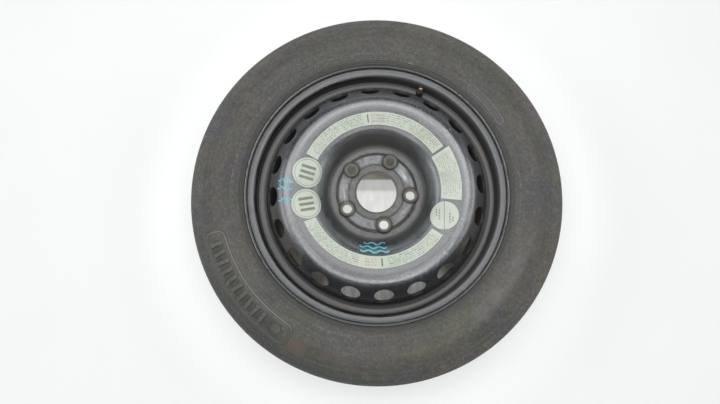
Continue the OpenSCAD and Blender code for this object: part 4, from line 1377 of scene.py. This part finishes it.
# ------------------------------------------------------------------ floor and light
def build_floor():
    z = -99.5 * MM - 0.0002
    s = 5.0
    me = bpy.data.meshes.new("floor")
    me.from_pydata([(-s, -s, z), (s, -s, z), (s, s, z), (-s, s, z)], [], [(0, 1, 2, 3)])
    ob = bpy.data.objects.new("floor", me)
    SC.collection.objects.link(ob)
    g = Mat("pale_floor")
    g.co()
    c = g.mix(g.step(g.noise(3.0, 3, 0.5), 0.3, 0.7), (0.600, 0.606, 0.608), (0.585, 0.588, 0.588))
    sp = g.f("MULTIPLY", g.step(g.voronoi(26.0), 0.05, 0.02), g.step(g.noise(5.0, 2), 0.55, 0.62))
    c = g.mix(g.f("MULTIPLY", sp, 0.3), c, (0.45, 0.45, 0.45))
    # painted light: the sheet glows by itself, a little more close to the tyre, where it is shaded
    ring = g.step(g.r, 470.0, 305.0)
    glow = g.lerp(ring, FLOOR_GLOW, FLOOR_GLOW + FLOOR_RING)
    # under the wheel, painted light and shade: a lit patch seen through the bore's lower part, a dimmer band above it,
    # dim bands under the vents, and the sheet darkened elsewhere
    inside = g.step(g.r, 215.0, 205.0)
    yy = g.f("MULTIPLY", g.y, 1000.0)
    yy = g.f("ADD", yy, g.f("MULTIPLY", g.f("SUBTRACT", g.noise(30.0, 3, 0.6, g.shifted(5, 1, 2)), 0.5), 4.0))
    bore_lit_patch = g.f("MULTIPLY", g.step(g.r, 100.0, 80.0), g.step(yy, 46.0, 41.0))
    edge = g.f("MULTIPLY", g.step(g.r, 128.0, 108.0), g.step(yy, 41.0, 46.0))
    below = g.f("MULTIPLY", g.window(g.r, 128.0, 190.0, 12.0), g.angwin(276.5, 38.0, 10.0))
    faint = g.f("MULTIPLY", g.window(g.r, 128.0, 200.0, 12.0), g.angwin(274.5, 76.0, 14.0))
    streak = g.step(g.noise(1.0, 3, 0.6, g.vec(g.f("MULTIPLY", g.x, 120.0), g.f("MULTIPLY", g.y, 26.0), 0.0)), 0.28, 0.74)
    soft = g.step(g.noise(34.0, 4, 0.65, g.shifted(2, 6, 1)), 0.34, 0.66)
    lit = g.f("MULTIPLY", g.lerp(streak, 0.44, 0.56), g.lerp(g.step(yy, 27.0, 18.5), 0.72, 1.20))
    dim = g.f("ADD", g.f("MULTIPLY", bore_lit_patch, lit), g.f("ADD", g.f("MULTIPLY", edge, g.f("MULTIPLY", g.lerp(soft, 0.070, 0.125), g.lerp(g.step(yy, 48.0, 62.0), 1.25, 0.72))), g.f("MULTIPLY", below, g.lerp(streak, 0.12, 0.22))))
    dim = g.f("MAXIMUM", dim, g.f("MULTIPLY", faint, g.lerp(soft, 0.035, 0.062)))
    glow = g.lerp(inside, glow, dim)
    painted_shade_albedo = g.f("ADD", g.f("MULTIPLY", bore_lit_patch, 0.82), g.f("ADD", g.f("MULTIPLY", edge, 0.34), g.f("MULTIPLY", below, 0.58)))
    painted_shade_albedo = g.f("MAXIMUM", painted_shade_albedo, g.lerp(faint, 0.12, 0.26))
    painted_shade_albedo = g.lerp(inside, 1.0, painted_shade_albedo)
    warm = g.f("MULTIPLY", inside, g.f("SUBTRACT", 1.0, g.f("MAXIMUM", bore_lit_patch, g.f("MULTIPLY", below, 0.75))))
    c = g.mix(1.0, c, g.vec(painted_shade_albedo, g.f("MULTIPLY", painted_shade_albedo, g.lerp(warm, 1.0, 0.93)), g.f("MULTIPLY", painted_shade_albedo, g.lerp(warm, 1.0, 0.80))), "MULTIPLY")
    m = g.finish(c, g.lerp(g.step(g.noise(4.0, 2), 0.4, 0.6), 0.75, 0.85), 0.0, None)
    g.put(g.b.inputs["Emission Color"], g.mix(warm, g.mix(bore_lit_patch, (0.985, 1.0, 0.995), (1.0, 1.0, 0.965)), (1.0, 0.94, 0.79)))
    g.put(g.b.inputs["Emission Strength"], glow)
    set_material(ob, m)


FLOOR_GLOW, FLOOR_RING = 0.240, 0.150
build_floor()


def area(name, loc, look, sx, sy, radiance, color=(1, 1, 1)):
    ld = bpy.data.lights.new(name, "AREA")
    ld.shape = "RECTANGLE"
    ld.size, ld.size_y = sx, sy
    ld.energy = radiance * math.pi * sx * sy
    ld.color = color
    ob = bpy.data.objects.new(name, ld)
    ob.location = loc
    ob.rotation_mode = "QUATERNION"
    ob.rotation_quaternion = (Vector(look) - Vector(loc)).to_track_quat("-Z", "Y")
    SC.collection.objects.link(ob)
    return ob


area("overhead_back", (-0.05, 0.74, 1.80), (-0.05, 0.739, 0), 2.4, 1.15, 3.3, (1.0, 0.995, 0.99))
area("overhead_front", (-0.05, -0.86, 1.80), (-0.05, -0.859, 0), 2.2, 0.72, 3.6, (1.0, 0.995, 0.99))
area("overhead_middle", (-0.05, -0.16, 1.80), (-0.05, -0.159, 0), 2.2, 0.56, 1.5, (1.0, 0.995, 0.99))
area("left_window", (-2.6, 0.25, 1.35), (0, 0, 0.05), 2.2, 1.1, 2.4, (0.97, 0.985, 1.0))
area("right_window", (2.6, 0.25, 1.35), (0, 0, 0.05), 2.2, 1.1, 1.9, (0.98, 0.99, 1.0))
area("back_panel", (0.0, 2.9, 1.1), (0, 0, 0.05), 2.6, 0.9, 1.1, (0.98, 0.99, 1.0))

world = bpy.data.worlds.new("studio")
SC.world = world
world.use_nodes = True
bg = world.node_tree.nodes.get("Background")
bg.inputs[0].default_value = (0.94, 0.97, 1.0, 1)
bg.inputs[1].default_value = 0.13

SC.view_settings.view_transform = "Standard"
SC.view_settings.look = "None"
SC.view_settings.exposure = 0.0
SC.view_settings.gamma = 1.0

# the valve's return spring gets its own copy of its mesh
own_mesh(NODES["valve_core_spring"])
